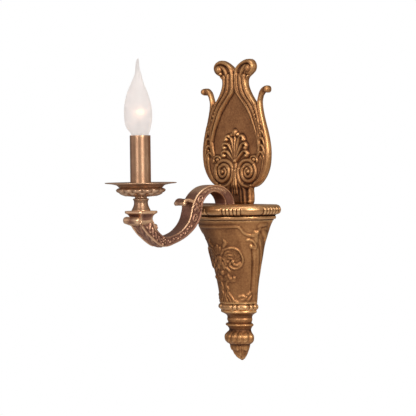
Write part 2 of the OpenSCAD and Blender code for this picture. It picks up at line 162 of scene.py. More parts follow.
class Relief:
    """Heights in mm over a sheet of points with flat coordinates u and w in mm."""

    def __init__(self, u, w, height, cell, wider=1.0, lower=1.0):
        self.u, self.w, self.cell = u, w, cell
        self.wider, self.lower = wider, lower      # scales every stroke and bump
        self.h = np.zeros(u.shape) + height
        self.layer = np.zeros(u.shape)

    def stroke(self, points, width, height, profile="round", taper=0.0):
        """Raises the layer along a line. Width is the half width, or None to take it from the
        points' third column, and taper thins both ends."""
        line = smooth_line(points, 5)
        half = line[:, 2] if width is None else np.full(len(line), width * self.wider)
        reach, height = half.max(), height * self.lower
        line = line[:, :2]
        low, high = line.min(axis=0) - reach, line.max(axis=0) + reach
        near = ((self.u > low[0]) & (self.u < high[0]) & (self.w > low[1]) & (self.w < high[1]))
        if not near.any():
            return
        d, place = line_field(self.u[near], self.w[near], line)
        thin = 1 - taper * (np.abs(2 * place - 1) ** 3)
        half = np.interp(place, np.linspace(0, 1, len(line)), half)
        q = np.clip(d / (half * thin), 0, 1)
        value = height * thin * PROFILES[profile](q) * (q < 1)
        self.layer[near] = np.maximum(self.layer[near], value)

    def ball(self, u, w, radius, height, squash=1.0, lean=0.0):
        """Raises a round or oval bump. Squash is its height to width, and lean turns it."""
        du, dw = self.u - u, self.w - w
        a = du * math.cos(lean) + dw * math.sin(lean)
        b = (-du * math.sin(lean) + dw * math.cos(lean)) / squash
        q = np.clip(np.hypot(a, b) / (radius * self.wider), 0, 1)
        self.layer = np.maximum(self.layer, height * self.lower * PROFILES["round"](q) * (q < 1))

    def settle(self, sign=1.0):
        """Adds the layer to the heights, or cuts it out of them."""
        self.h = self.h + sign * self.layer
        self.layer = np.zeros(self.h.shape)

    def soften(self, radius):
        """Blurs the heights over about radius mm."""
        self.h = blurred(self.h, radius / self.cell)


def ridge_shade(mesh, reach=1.5, gain=1.0, lift=0.0):
    """0 in hollows, 0.5 on plain ground, 1 on ridges: how far each point stands off its
    surroundings within about reach mm, kept as the point attribute shade. The castings' colour
    follows it: hollows are darker with painted shade over their patina, and ridges are lighter
    where rubbed. Lift lightens all, or the places that it gives a value for."""
    count = len(mesh.vertices)
    place = np.zeros(count * 3)
    mesh.vertices.foreach_get("co", place)
    place = place.reshape(-1, 3) / MM
    normal = np.zeros(count * 3)
    mesh.vertex_normals.foreach_get("vector", normal)
    normal = normal.reshape(-1, 3)
    ends = np.zeros(len(mesh.edges) * 2, int)
    mesh.edges.foreach_get("vertices", ends)
    a, b = ends.reshape(-1, 2).T
    length = np.median(np.linalg.norm(place[a] - place[b], axis=1))
    degree = np.bincount(a, minlength=count) + np.bincount(b, minlength=count)
    degree = np.maximum(degree, 1)[:, None]
    even = place.copy()
    value = np.zeros(count)
    rounds = int(np.clip(2 * (reach / length) ** 2, 4, 60))
    for k in range(rounds):
        near = np.column_stack([np.bincount(a, even[b, c], count) + np.bincount(b, even[a, c], count)
                                for c in range(3)])
        even = (even + near / degree) / 2
        if k == rounds // 6:
            value += 0.8 * ((place - even) * normal).sum(axis=1)
    value += 0.5 * ((place - even) * normal).sum(axis=1)
    if callable(lift):
        lift = lift(place[:, 0], -place[:, 1], place[:, 2])
    shade = np.clip(0.5 + lift + gain * value, 0, 1)
    out = -place[:, 1]
    if out.min() < WALL_REACH:
        shade[out < out.min() + 0.05] = BACK_SHADE
    layer = mesh.attributes.new("shade", "FLOAT", "POINT")
    layer.data.foreach_set("value", shade.astype(np.float32))


def new_piece(name, verts, faces, body, nodes, slot, sharp=40, reach=1.5, gain=1.0, lift=0.0):
    """A closed mesh piece from points in (x, p, z) mm, riding on a body in place of CAD nodes."""
    pts = np.array(verts, float)
    pts = np.column_stack([pts[:, 0], -pts[:, 1], pts[:, 2]]) * MM
    mesh = bpy.data.meshes.new(name)
    mesh.from_pydata(pts.tolist(), [], faces)
    bm = bmesh.new()
    bm.from_mesh(mesh)
    bmesh.ops.remove_doubles(bm, verts=bm.verts, dist=1e-6)
    bmesh.ops.recalc_face_normals(bm, faces=bm.faces)
    bm.to_mesh(mesh)
    bm.free()
    mesh.shade_smooth()
    mesh.set_sharp_from_angle(angle=math.radians(sharp))
    ridge_shade(mesh, reach, gain, lift)
    piece = bpy.data.objects.new(name, mesh)
    bpy.context.scene.collection.objects.link(piece)
    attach(piece, body)
    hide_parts(*nodes)
    return piece


def grid_faces(rows, cols, wrap_rows=False, wrap_cols=False):
    """Faces of a grid of points whose rows follow one another."""
    r = np.arange(rows if wrap_rows else rows - 1)
    c = np.arange(cols if wrap_cols else cols - 1)
    rr, cc = np.meshgrid(r, c, indexing="ij")
    r2, c2 = (rr + 1) % rows, (cc + 1) % cols
    quads = np.stack([rr * cols + cc, rr * cols + c2, r2 * cols + c2, r2 * cols + cc], axis=-1)
    return quads.reshape(-1, 4).tolist()


def capped_faces(rows, cols):
    """Faces of a tube of rows of points, each row a closed ring, with both ends closed."""
    return grid_faces(rows, cols, wrap_cols=True) + [
        list(range(cols)), [(rows - 1) * cols + i for i in range(cols)][::-1]]


def turned(name, loop, body, nodes, slot, angles, centre_p=0.0, offset=None, **looks):
    """A turned piece: loop is a closed list of (r, z), and offset(angle, r, z) gives extra r and z.
    Angles in degrees run from +x towards the room. A full circle wraps, anything less is capped."""
    full = abs(angles[-1] - angles[0]) >= 359.99
    t = np.radians(angles[:-1] if full else angles)
    r, z = np.array(loop, float).T
    rr, tt = np.meshgrid(r, t)
    zz = np.broadcast_to(z, rr.shape).copy()
    if offset is not None:
        dr, dz = offset(np.degrees(tt), rr, zz)
        rr, zz = rr + dr, zz + dz
    verts = np.stack([rr * np.cos(tt), centre_p + rr * np.sin(tt), zz], axis=-1).reshape(-1, 3)
    rows, cols = len(t), len(r)
    faces = grid_faces(rows, cols, True, True) if full else capped_faces(rows, cols)
    return new_piece(name, verts, faces, body, nodes, slot, **looks)


# ---- Back plate ----

def half_outline(stretches, steps=5):
    """Right half of a mirrored outline, as smooth stretches with corners between them."""
    half = np.vstack([smooth_line(s, steps)[:-1] for s in stretches] + [[stretches[-1][-1]]])
    left = half[::-1] * [-1, 1]
    return np.vstack([half, left[left[:, 0] < -1e-6]])


def trimmed_solid(u, w, height, field, cell):
    """Closed solid with a flat back under a sheet of heights, trimmed to the field's zero line.
    Points next to that line are moved onto it, so the edge is smooth."""
    gw, gu = np.gradient(field, cell)
    size = np.maximum(np.hypot(gu, gw), 0.3)
    gu, gw = gu / size, gw / size
    edge = np.abs(field) < 0.5 * cell
    u = np.where(edge, u - field * gu, u)
    w = np.where(edge, w - field * gw, w)
    rows, cols = field.shape
    quads = np.array(grid_faces(rows, cols))
    flags = (edge | (field < 0)).reshape(-1)[quads]
    middle = field.reshape(-1)[quads].mean(axis=1)
    faces = quads[flags.all(axis=1) & (middle < 0.2 * cell)].tolist()
    faces += [q[f].tolist() for q, f in zip(quads, flags) if f.sum() == 3]
    used = np.unique(np.concatenate([np.array(f) for f in faces]))
    index = -np.ones(rows * cols, int)
    index[used] = np.arange(len(used))
    faces = [[int(index[i]) for i in f] for f in faces]
    top = np.column_stack([u.reshape(-1)[used], height.reshape(-1)[used], w.reshape(-1)[used]])
    inward = -np.column_stack([gu.reshape(-1)[used], 0 * used, gw.reshape(-1)[used]])
    following = {}
    for f in faces:
        for a, b in zip(f, f[1:] + f[:1]):
            if following.get(b, {}).pop(a, None) is None:
                following.setdefault(a, {})[b] = True
    following = {a: list(b) for a, b in following.items() if b}
    verts, count = [top], len(top)
    while following:
        first = next(iter(following))
        loop = [first]
        while loop[-1] in following:
            ahead = following[loop[-1]].pop()
            if not following[loop[-1]]:
                del following[loop[-1]]
            if ahead == first:
                break
            loop.append(ahead)
        ring = top[loop]
        previous = loop
        for share, inset in ((0.66, 0.0), (0.33, 0.0), (0.0, 0.0), (None, BACK_BEVEL)):
            row = ring + inward[loop] * inset
            row[:, 1] = 0 if share is None else BACK_BEVEL + (ring[:, 1] - BACK_BEVEL) * share
            verts.append(row)
            indices = list(range(count, count + len(loop)))
            count += len(loop)
            faces += [[previous[i - 1], previous[i], indices[i], indices[i - 1]]
                      for i in range(len(loop))]
            previous = indices
        faces.append(previous)
    return np.vstack(verts), faces


BACK_BEVEL = 0.7
PLATE_CELL = 0.5                           # spacing of the plate's points
PLATE_THICK = 5.0                          # of its framing ribbons, before their relief
EDGE_ROUND = 3.2

FOOT = [[28, 0], [29.8, 4], [30, 12], [29.4, 18], [30, 21.6]]
BELLY = [[30, 21.6], [38, 23.4], [47, 29], [55, 38.5], [60, 50], [61.8, 64], [61, 77], [57.6, 92],
         [52.6, 107], [48.6, 121], [47, 133], [49, 141]]
HORN = [[49, 141], [53, 145], [57.6, 144.6], [61.4, 145.8], [62.6, 149.6], [60.4, 153.2],
        [55, 154], [50.2, 152], [45.6, 147.2], [42.6, 139.5], [39.2, 131]]
VOLUTE = [[39.2, 131], [33.5, 137], [26.5, 147], [22.2, 157], [23.4, 165], [29.5, 169.6],
          [35.4, 174.4], [37, 180.8], [33.8, 186.8], [27.5, 189.8], [19.5, 188.8], [10.5, 184.6],
          [4, 180], [0, 175.5]]
PLAIN_FIELD = [[0, 46], [14, 49], [32, 52], [41, 62], [43, 76], [38, 96], [26, 120], [12, 137],
               [0, 147]]

# Lines of the tulip plate's right half, in mm from its middle and from its foot.
VOLUTE_RIM = [[3.2, 168], [5.4, 177], [10.5, 183], [18, 186.4], [26, 187], [32, 184.2],
              [34.2, 179.6], [32.6, 174.6], [29, 171.8], [25, 172]]
VOLUTE_RING = [[11, 160], [12.6, 168], [15.6, 175], [20.4, 180.2], [25.6, 181.4], [29.4, 179]]
RIBBON_INNER = [[0.6, 170], [0.6, 160], [0.6, 151], [4.6, 143.5], [11.4, 136], [18.4, 128],
                [25.4, 119], [32, 107], [37.6, 95], [41, 83]]
RIBBON_OUTER = [[21.6, 167], [22.4, 158], [25.8, 149], [29.8, 142.5], [34.4, 137], [39.6, 131],
                [44, 121.5], [47.2, 109], [49.4, 97], [50, 86]]
RIBBON_RIBS = 3
EDGE_BAND = [[59.4, 149.6], [53.5, 149.6], [48.2, 145], [45.6, 138], [45.4, 130], [46.6, 120],
             [50.6, 106], [54.8, 92], [57.6, 78], [58, 64], [55.6, 50], [50.4, 39.4],
             [43.6, 31], [36, 25.8]]
SPIRAL = [[50.6, 70], [51.4, 60], [50.6, 50], [47.4, 39], [41, 29.6], [33, 24], [24, 22],
          [14.5, 24.4], [7.6, 31], [4.9, 40], [6.4, 49], [12.6, 55.4], [22, 57.6], [31, 54.8],
          [36.4, 47.6], [37, 39.6], [32.6, 32.6], [25, 29.8], [17.6, 31.8], [12.8, 37.4],
          [12.4, 44.8], [16.8, 50.4], [23, 51.8], [28.8, 48.6], [30.4, 42.4], [27.2, 37],
          [22.4, 35.8], [18.6, 38.6], [18, 43], [20.6, 46.4]]
# Leaves of the palmette from stem to curled tip, and the lowest place of each leaf of the spray
PALMETTE = ([[0.8, 58], [2.4, 69], [4.4, 79], [7.4, 86.4], [12, 89.6], [16, 87.6], [17, 83.8]],
            [[1.2, 57], [4, 65], [8, 72.4], [13, 78.6], [18.4, 79.8], [21.6, 76.8], [20.6, 72.8]],
            [[1.4, 56], [5.4, 60.4], [10.4, 65], [15.4, 69], [20, 69.4], [23.4, 66.4], [22, 62.6]])
SPRAY_STEM = [[38.6, 114], [42.4, 106], [44, 96], [44.2, 84], [43, 72], [40, 61]]
SPRAY_LEAVES = (100, 91, 81.5, 72, 63)


def ribbon_rib(k):
    """Line and half width of one of the ribs that fill the ribbon from the volute to the field."""
    inner, outer = smooth_line(RIBBON_INNER, 3), smooth_line(RIBBON_OUTER, 3)
    line = inner + (outer - inner) * (k + 0.5) / RIBBON_RIBS
    way = np.gradient(line, axis=0)
    across = outer - inner
    span = np.abs(way[:, 0] * across[:, 1] - way[:, 1] * across[:, 0]) / np.hypot(*way.T)
    return np.column_stack([line, 0.52 * span / RIBBON_RIBS])


def tulip_relief(u, w, edge, field):
    """Heights of the tulip plate above its back."""
    r = Relief(np.abs(u), w, PLATE_THICK, PLATE_CELL)
    # the framing ribbons and volutes stand above the plain field, the neck lies low
    above_field = smoothstep(field, -0.3, 1.3)
    neck = smoothstep(w, 25, 18)
    volutes = smoothstep(w, 150, 172)
    r.h += 1.0 * above_field + 0.6 * volutes - 1.6 * neck
    for line in (EDGE_BAND, SPIRAL):
        r.stroke(line, 4.2, 0.9, "soft")
    r.settle(-1)
    for k in range(RIBBON_RIBS):
        r.stroke(ribbon_rib(k), None, 3.0)
    r.stroke(EDGE_BAND, 3.5, 2.8)
    r.stroke(VOLUTE_RIM, 3.0, 3.4, taper=0.2)
    r.stroke(VOLUTE_RING, 2.6, 2.9, taper=0.3)
    r.ball(27.6, 177.6, 5.8, 6.0)
    r.ball(25.6, 165.4, 3.7, 3.4)
    r.ball(58.6, 149.4, 4.6, 4.8)
    r.stroke(SPIRAL, 2.7, 3.1, taper=0.25)
    r.ball(24, 42.4, 3.4, 2.6)
    # stems up the middle, and the leaf and the scroll foot on each side of the neck
    r.stroke([[1.2, 58], [1.1, 46], [1.3, 34], [1.6, 22], [1.8, 13]], 1.7, 2.6, taper=0.3)
    r.stroke([[5.6, 30], [7.2, 20], [8, 10], [8.4, 0]], 1.8, 0.8, "soft")
    r.stroke([[12, 27], [14.6, 19], [15.8, 10], [16, 4], [16, -3]], 3.8, 2.2, "soft")
    r.stroke([[29, 23], [26, 18], [25.2, 10], [26, 2]], 3.3, 3.4)
    r.ball(25.8, 3.2, 3.8, 4.2)
    # spray of leaves between the field and the edge band
    r.stroke(SPRAY_STEM, 2.9, 3.0, taper=0.3)
    for foot in SPRAY_LEAVES:
        lean = 1.5 * math.sin(PI * (foot - 60) / 45)
        r.stroke([[42 + lean, foot], [45.8 + lean, foot + 4.8], [50.4 + lean, foot + 3.6],
                  [53.4 + lean, foot - 2.4], [54 + lean, foot - 9]], 2.1, 3.2, taper=0.45)
    r.ball(34, 58.4, 2.8, 3.0)
    r.stroke([[26.6, 58.8], [30.6, 62], [35.6, 62.6], [39.6, 59.6], [40.6, 55]], 1.7, 2.7, taper=0.3)
    # beads that run down the ribbon
    for x, z, size in ((35.6, 121, 1.7), (38.2, 116, 2.5), (40.8, 110.6, 1.7)):
        r.ball(x, z, size, 3.9, 1.4, lean=-0.4)
    r.settle()
    # fine cuts along the ribs, and the eyes under the leaves
    for line in ([[46.9, 144], [45.4, 137], [45.4, 129], [46.8, 119], [50.4, 107], [54.4, 93]],
                 [[5.2, 170], [5.2, 160], [5.4, 152], [9.6, 144.6], [16, 137], [22.6, 128.6]],
                 [[18.6, 168], [19, 159], [21.8, 150.6], [26.6, 143], [32.4, 135.6], [38.2, 127]]):
        r.stroke(line, 0.9, 0.9, "soft")
    for foot in SPRAY_LEAVES:
        r.ball(48.6, foot - 1.2, 1.5, 1.7, 1.6, lean=0.3)
    r.ball(21.6, 172.4, 1.6, 1.6)
    r.settle(-1)
    # palmette
    r.stroke([[0, 57], [0, 70], [0, 82], [0, 92]], 2.7, 3.2, "soft", taper=0.2)
    for stem in PALMETTE:
        r.stroke(stem, 3.1, 3.4, "soft", taper=0.25)
        r.stroke(stem[3:], 2.4, 4.4, taper=0.5)
        tip = stem[-1]
        r.ball(tip[0] - 0.8, tip[1] + 1, 3.6, 4.8, 0.9)
    r.ball(0, 93.6, 4.6, 4.6, 1.15)
    r.ball(5.2, 91.4, 2.8, 3.8, 1.1, lean=0.4)
    r.ball(0, 58.6, 3.6, 2.2, 1.2)
    r.settle()
    for stem in PALMETTE:
        r.stroke(stem[:4], 0.6, 0.8, "soft")
    r.stroke([[0, 84], [0, 98]], 0.7, 1.0, "soft")
    r.settle(-1)
    r.h += 0.2 * blurred(RNG.normal(size=u.shape), 1.2)
    r.soften(0.45)
    # rounded outer edge
    depth = np.clip(-edge, 0, EDGE_ROUND)
    return r.h - EDGE_ROUND + np.sqrt(np.maximum(EDGE_ROUND ** 2 - (EDGE_ROUND - depth) ** 2, 0))


def make_tulip():
    """Tulip plate behind the candle."""
    left, foot = -66, -1
    u, w = np.meshgrid(np.arange(left, 66.1, PLATE_CELL), np.arange(foot, 192.1, PLATE_CELL))
    outline = half_outline([FOOT, BELLY, HORN, VOLUTE])
    edge = signed_field(u, w, outline)
    edge = np.maximum(edge, -w)
    field = signed_field(u, w, half_outline([PLAIN_FIELD]))

    def tone(x, p, z):
        # painted shade: darker on the neck, in the shadow of the volutes and the arm, on the horns, and
        # round the outer edge, where it dims the side lights' highlight
        row = np.clip(np.rint((z - RIM_Z - foot) / PLATE_CELL).astype(int), 0, len(edge) - 1)
        col = np.clip(np.rint((x - left) / PLATE_CELL).astype(int), 0, edge.shape[1] - 1)
        height = z - RIM_Z
        neck = smoothstep(height, 27, 17)
        horn = (smoothstep(height, 134, 143) * smoothstep(height, 158, 154)
                * smoothstep(np.abs(x), 43, 48))
        border = smoothstep(edge[row, col], -4.5, -1.5) * smoothstep(height, 20, 26)
        return 0.02 - 0.20 * neck - 0.10 * horn - 0.16 * border

    verts, faces = trimmed_solid(u, w, tulip_relief(u, w, edge, field), edge, PLATE_CELL)
    verts = verts + [0, PLATE_P, RIM_Z]
    return new_piece("tulip_plate", verts, faces, "sconce", ["back_plate"], "antique_brass",
                     sharp=75, reach=1.8, gain=0.9, lift=tone)


# ---- Bracket ----

SHELL_LINE = [[29, 0], [29.3, 8], [31, 20], [33.5, 34], [37, 49], [40.6, 63], [44, 77],
              [49, 89.5], [55, 103], [58.6, 108.8], [58.8, 110.4], [57.6, 111.6], [57.4, 113],
              [58.6, 114]]
SHELL_WALL = 3
INNER = 14                                 # flat floors have a ring of points at this radius


def shell_relief(u, w, angle):
    """Heights of the ornament on the bracket's body. u is the way round from the front and w
    the height above the body's floor."""
    r = Relief(np.abs(u), w, 0.0, 0.6, wider=1.3, lower=0.85)
    # pilaster along the back edge
    r.stroke([[60.4, 90], [58.6, 78], [56.4, 64], [52.6, 46], [48.6, 26], [46, 6]], 6.2, 1.6, "band")
    r.settle()
    # coarse ground inside the scroll
    ground = smoothstep(np.hypot(r.u - 21, (w - 61) * 1.05), 12.5, 9)
    grain = blurred(RNG.normal(size=u.shape), 1.0)
    r.h += ground * (-0.6 + 0.75 * grain)
    # lip of the festoon that hangs under the moulding
    r.stroke([[0, 102.4], [14, 102.5], [27, 102.7], [38, 102.8], [41.4, 100], [43.6, 95],
              [48, 91.6], [53.6, 91], [59, 92.6], [64, 96.4], [68.4, 100.4]], 1.5, 1.7)
    r.stroke([[66, 101.6], [70, 104], [75, 104.6], [80, 105.6]], 2.0, 2.0, taper=0.4)
    r.stroke([[69, 97.6], [73.4, 99.4], [78, 99.4]], 1.5, 1.6, taper=0.4)
    r.ball(72.4, 92, 3.6, 3.0, 1.4)
    r.ball(72.4, 84.4, 2.8, 2.4, 1.4)
    # C scroll with its curled end
    r.stroke([[4.6, 66], [6.4, 69.4], [11, 72.6], [17.4, 74.4], [24.3, 74.4], [29.8, 71.4],
              [32.6, 66], [33.2, 59.4], [31, 53.6], [26.6, 49.4], [20.6, 47.2], [16, 48.6],
              [13.8, 51.6], [15.4, 54.4]], 1.15, 2.1)
    r.stroke([[29.6, 55.4], [26.4, 52.4], [22.2, 51.8], [19, 54], [18.6, 57]], 1.5, 2.0, taper=0.5)
    r.ball(18.8, 56, 2.2, 2.3)
    # leaf that grows inside the scroll
    for tip in ([19.4, 68.4], [21.6, 64.4], [19.8, 60.2], [15, 56.4]):
        r.stroke([[6.4, 61], [(6.4 + tip[0]) / 2, tip[1] + 0.6], tip], 1.4, 1.4, taper=0.6)
    # spray of leaves on the front
    for points, width in (([[0, 66], [0.6, 72], [0, 79]], 1.9), ([[2, 66], [4, 72], [4.2, 76.4]], 1.7),
                          ([[3, 65], [7.4, 69.6], [9.6, 74.6]], 1.7),
                          ([[8.4, 74.6], [11.6, 78], [14.6, 82], [12.6, 86.4]], 1.9),
                          ([[3.4, 63], [1.4, 58], [0.8, 52]], 1.8),
                          ([[4.6, 62], [8, 57.4], [8.6, 51.6]], 1.5),
                          ([[2.4, 56], [5, 51], [4.6, 46.4]], 2.3),
                          ([[6.8, 49], [10.6, 46.6], [13, 42.6]], 1.4)):
        r.stroke(points, width, 2.2, taper=0.6)
    r.ball(1.4, 61, 2.8, 2.6)
    r.ball(0, 41.6, 2.6, 2.5)
    # rosette with two buds
    for petal in ([4.2, 36.2], [9, 38.4], [5.2, 29.8], [12.6, 30.6], [17, 31.6], [1.6, 32.6]):
        r.stroke([[9.4, 33.4], petal], 2.1, 1.9, taper=0.3)
    r.ball(11.6, 34.2, 2.3, 3.0)
    r.ball(17, 35.2, 2.1, 2.8)
    # husks that drop to the bottom leaves
    r.stroke([[4.6, 28.6], [2.8, 22], [5.4, 18.4], [3.6, 14.6], [3.6, 10]], 1.2, 1.8)
    for points in ([[3.4, 24], [5.6, 21.6], [6, 18]], [[4.6, 17], [7.6, 12], [11, 7], [11.6, 2.4]],
                   [[3, 13], [6, 8], [8.2, 2.6]], [[0, 14], [1, 8], [2.6, 2.6]],
                   [[12.6, 5.6], [15, 3.6], [18, 2]]):
        r.stroke(points, 1.5, 1.9, taper=0.6)
    # panel edge with its scrolled head
    r.stroke([[44, 84.6], [48.6, 85], [52.6, 82.6], [54.2, 78], [52, 74.2], [48.6, 74.4]],
             1.3, 1.7)
    r.ball(48.2, 75.6, 2.7, 2.6)
    r.stroke([[56, 72], [54, 60], [50, 44], [45.4, 20], [44, 6]], 2.0, 0.8, "soft")
    r.stroke([[55.4, 82], [58.6, 90], [60, 96]], 2.2, 1.6, taper=0.5)
    r.stroke([[62, 86], [61, 74], [58.4, 60], [53, 38], [49, 10]], 1.6, 0.8, "soft")
    for points in ([[18, 8.6], [22, 10.6], [27, 9.8], [30, 6]], [[22, 5], [27, 7], [32, 10.4]],
                   [[30, 12], [34, 13.4], [37, 17]], [[30, 4], [33.6, 7], [37, 12]]):
        r.stroke(points, 1.5, 1.5, taper=0.5)
    r.settle()
    # sunk line beside the panel edge and veins in the big leaves
    r.stroke([[47.6, 73], [47.2, 68], [46, 58], [42.8, 44], [39.2, 28], [37, 17]], 1.3, 2.0, "soft")
    r.stroke([[13, 60], [9, 63.6], [6, 66]], 0.7, 0.9, "soft")
    r.stroke([[58.6, 80], [58, 64], [53, 44], [47.6, 10]], 0.7, 0.8, "soft")
    r.settle(-1)
    r.soften(0.7)
    r.h += 0.15 * blurred(RNG.normal(size=u.shape), 1.5)
    # the ornament fades out at the wall, under the moulding and at the floor
    fade = smoothstep(w, 0, 2) * smoothstep(w, 112, 107) * smoothstep(angle, 0, 3)
    return r.h * fade * smoothstep(180 - angle, 0, 3)


def make_shell():
    """Tapered half round body of the bracket, open to the wall."""
    floor = SHELL_LOW[2]
    line = smooth_line(SHELL_LINE, 8)
    outer_z = np.arange(0, SHELL_HIGH[2] - floor + 0.01, 0.6)
    outer = np.column_stack([np.interp(outer_z, line[:, 1], line[:, 0]), outer_z])
    slope = np.gradient(outer[:, 0], outer[:, 1])
    normal = np.column_stack([np.ones(len(slope)), -slope]) / np.hypot(1, slope)[:, None]
    inner_z = np.linspace(outer_z[-1], SHELL_WALL, 18)
    inner = np.column_stack([np.interp(inner_z, line[:, 1], line[:, 0]) - SHELL_WALL, inner_z])
    loop = np.vstack([[[0, 0], [INNER, 0]], outer, inner,
                      [[INNER - 1, SHELL_WALL], [0, SHELL_WALL]]]) + [0, floor]
    count = len(outer)

    def offset(angle, r, z):
        part = slice(2, 2 + count)
        height = np.zeros(r.shape)
        u = np.radians(90 - angle[:, part]) * r[:, part]
        height[:, part] = shell_relief(u, z[:, part] - floor, angle[:, part])
        dr, dz = np.zeros(r.shape), np.zeros(r.shape)
        dr[:, part] = height[:, part] * normal[:, 0]
        dz[:, part] = height[:, part] * normal[:, 1]
        return dr, dz

    def tone(x, p, z):
        # darker over the ornamented front and lighter on the plain sides, each from partway up
        u = np.abs(np.arctan2(x, p)) * np.hypot(x, p)
        w = z - floor
        side = smoothstep(u, 32, 37)
        return 0.07 * side * smoothstep(w, 16, 36) - 0.04 * (1 - side) * smoothstep(w, 26, 40)

    return turned("bracket_body", loop, "sconce", ["bracket_shell"], "antique_brass",
                  np.linspace(0, 180, 271), offset=offset, sharp=75, reach=1.8, gain=0.8, lift=tone)


def bead_profile(angle, beads, low=0.6):
    """Size of a bead and reel moulding round its ring. Beads are (from, to) in degrees."""
    size = np.full(angle.shape, low)
    mirrored = np.minimum(angle, 180 - angle)
    for start, end in beads:
        x = np.abs(mirrored - (start + end) / 2) / ((end - start) / 2)
        body = (1 - np.clip(x, 0, 1) ** 3.2) ** 0.5
        size = np.maximum(size, low + (1 - low) * body)
    return size


def beaded(loop, centre, radius, beads, low, top=1.0):
    """Offset function that swells the round part of a profile into beads, up to top radii over
    its centre."""
    near = np.hypot(loop[:, 0] - centre[0], loop[:, 1] - centre[1]) < radius + 0.05
    near &= (loop[:, 0] > centre[0] - 0.2 * radius) & (loop[:, 1] < centre[1] + top * radius)

    def offset(angle, r, z):
        size = bead_profile(angle, beads, low) - 1
        swell = np.where(near[None, :], size, 0)
        return swell * (r - centre[0]), swell * (z - centre[1])

    return offset


def arc(centre, radius, start, end, count, squash=1.0):
    """Points of an arc from start to end in degrees, flattened by squash."""
    t = np.radians(np.linspace(start, end, count))
    return np.column_stack([centre[0] + radius * np.cos(t), centre[1] + radius * squash * np.sin(t)])


def reels(start, end, count):
    """Narrow beads side by side, as (from, to) in degrees."""
    pitch = (end - start) / count
    return [(start + pitch * (k + 0.06), start + pitch * (k + 0.94)) for k in range(count)]


def make_rim():
    """Bead and reel moulding round the top, with a fillet under it."""
    centre, radius = (67.5, RIM_Z - 6.5), 6.4
    cove = smooth_line([[60.1, -21], [60.5, -20.8], [60.4, -20.2], [60.4, -19.8]], 2)
    under = np.vstack([cove, arc((62.2, -16.7), 2.5, -118, 62, 24), [[64.4, -13.6]]]) + [0, RIM_Z]
    band = arc(centre, radius - 0.5, 24, 88, 16)
    loop = np.vstack([under, arc(centre, radius, -64, 16, 26), band, [[66.2, RIM_Z]],
                      [[66.2, RIM_Z - 4], [60.1, RIM_Z - 4]]])
    beads = ([(-9, 2)] + reels(2.6, 20.8, 5) + [(21.4, 45)] + reels(45.6, 64.6, 5) + [(65.2, 83.4)]
             + reels(84, 96, 3))
    return turned("bead_and_reel_rim", loop, "sconce", ["rim_collar"], "rubbed_brass",
                  np.linspace(0, 180, 541), offset=beaded(loop, centre, radius, beads, 0.8, 0.3),
                  sharp=75, reach=1.8, gain=0.85, lift=-0.04)


def make_bead_ring():
    """Ring of long and round beads under the body."""
    floor = RING_LOW[2]
    centre, radius = (26.4, floor + 4.7), 4.6
    loop = np.vstack([[[0, floor], [INNER, floor]],
                      smooth_line([[27.4, floor], [28.2, floor + 0.6]], 1),
                      arc(centre, radius, -76, 84, 34, 0.9), [[INNER, RING_HIGH[2]], [0, RING_HIGH[2]]]])
    beads = ((-12, 12), (14, 24.6), (26.4, 57), (58.6, 69.6), (71, 109))
    return turned("bead_ring_cast", loop, "sconce", ["bead_ring"], "rubbed_brass",
                  np.linspace(0, 180, 361), offset=beaded(loop, centre, radius, beads, 0.66),
                  sharp=75, reach=1.6, gain=0.8)


FINIAL_LINE = [[27.6, -0.8], [27.4, -2.8], [24, -4.6], [20.6, -6.8], [19.2, -9.6], [19.6, -12.6],
               [18.7, -15.6], [18.4, -17.2],
               [21.2, -18.6], [21.4, -20.4], [19, -22.4], [17, -26], [18.4, -29.6],
               [21.6, -33.2], [22.4, -36.6], [21.6, -40.8], [18.8, -43.8], [15.4, -46],
               [14.2, -50], [11.8, -54.6], [8.4, -60.4], [4.6, -65.8]]


def finial_relief(angle, r, z):
    """Leaves round the finial's bulge and scales on its tip; z is below the bead ring."""
    leaves, slant = 8, 0.014
    phase = (angle / 180 * leaves + slant * (z + 36)) % 1 - 0.5
    bulge = smoothstep(z, -27.6, -30.4)
    bulge = bulge * smoothstep(z, -45.6 + 6 * np.abs(phase), -41 + 6 * np.abs(phase))
    wedge = np.clip(1 - np.abs(1.9 * phase + 0.2), 0, 1) ** 0.6
    cut = np.exp(-((phase + 0.1) / 0.07) ** 2)
    out = bulge * (2.4 * wedge - 0.9 - 0.5 * cut)
    for row, (top, bottom) in enumerate(((-42.6, -54), (-48, -61), (-55, -66.6))):
        scales = 3 + 0.5 * (row == 0)
        p = (angle / 180 * scales + 0.5 * row + 0.1 * np.sin(angle / 9 + row)) % 1 - 0.5
        along = np.clip((z - bottom) / (top - bottom), 0, 1)
        width = 0.56 * np.sqrt(np.clip(1 - (1 - along) ** 2.4, 0, 1)) + 0.02
        shape = np.clip(1 - (np.abs(p) / width) ** 2.4, 0, 1) ** 0.5
        vein = 0.5 * np.exp(-(p / 0.07) ** 2) - 0.4 * np.exp(-((np.abs(p) - 0.18) / 0.05) ** 2)
        out = np.maximum(out, (along > 0) * (along < 1) * shape * (0.7 + 1.1 * (1 - along) + vein))
    return blurred(out, 0.9)


def make_finial():
    """Turned neck and leafy drop under the ring."""
    top = RING_LOW[2]
    line = smooth_line(FINIAL_LINE, 8)
    line = np.vstack([line, arc((0, -64.6), 3.4, -30, -90, 8)])
    loop = np.vstack([[[0, 0], [INNER, 0], [27, 0]], line]) + [0, top]
    loop[-1] = [0, FINIAL_LOW[2]]

    def offset(angle, r, z):
        height = finial_relief(angle, r, z - top)
        height = height * smoothstep(angle, 0, 4) * smoothstep(180 - angle, 0, 4)
        height = height * smoothstep(z - FINIAL_LOW[2], 1.5, 5)
        return height, 0 * height

    return turned("leafy_finial", loop, "sconce", ["finial"], "antique_brass",
                  np.linspace(0, 180, 361), offset=offset, sharp=75, reach=1.5, gain=0.9)


# ---- Arm ----

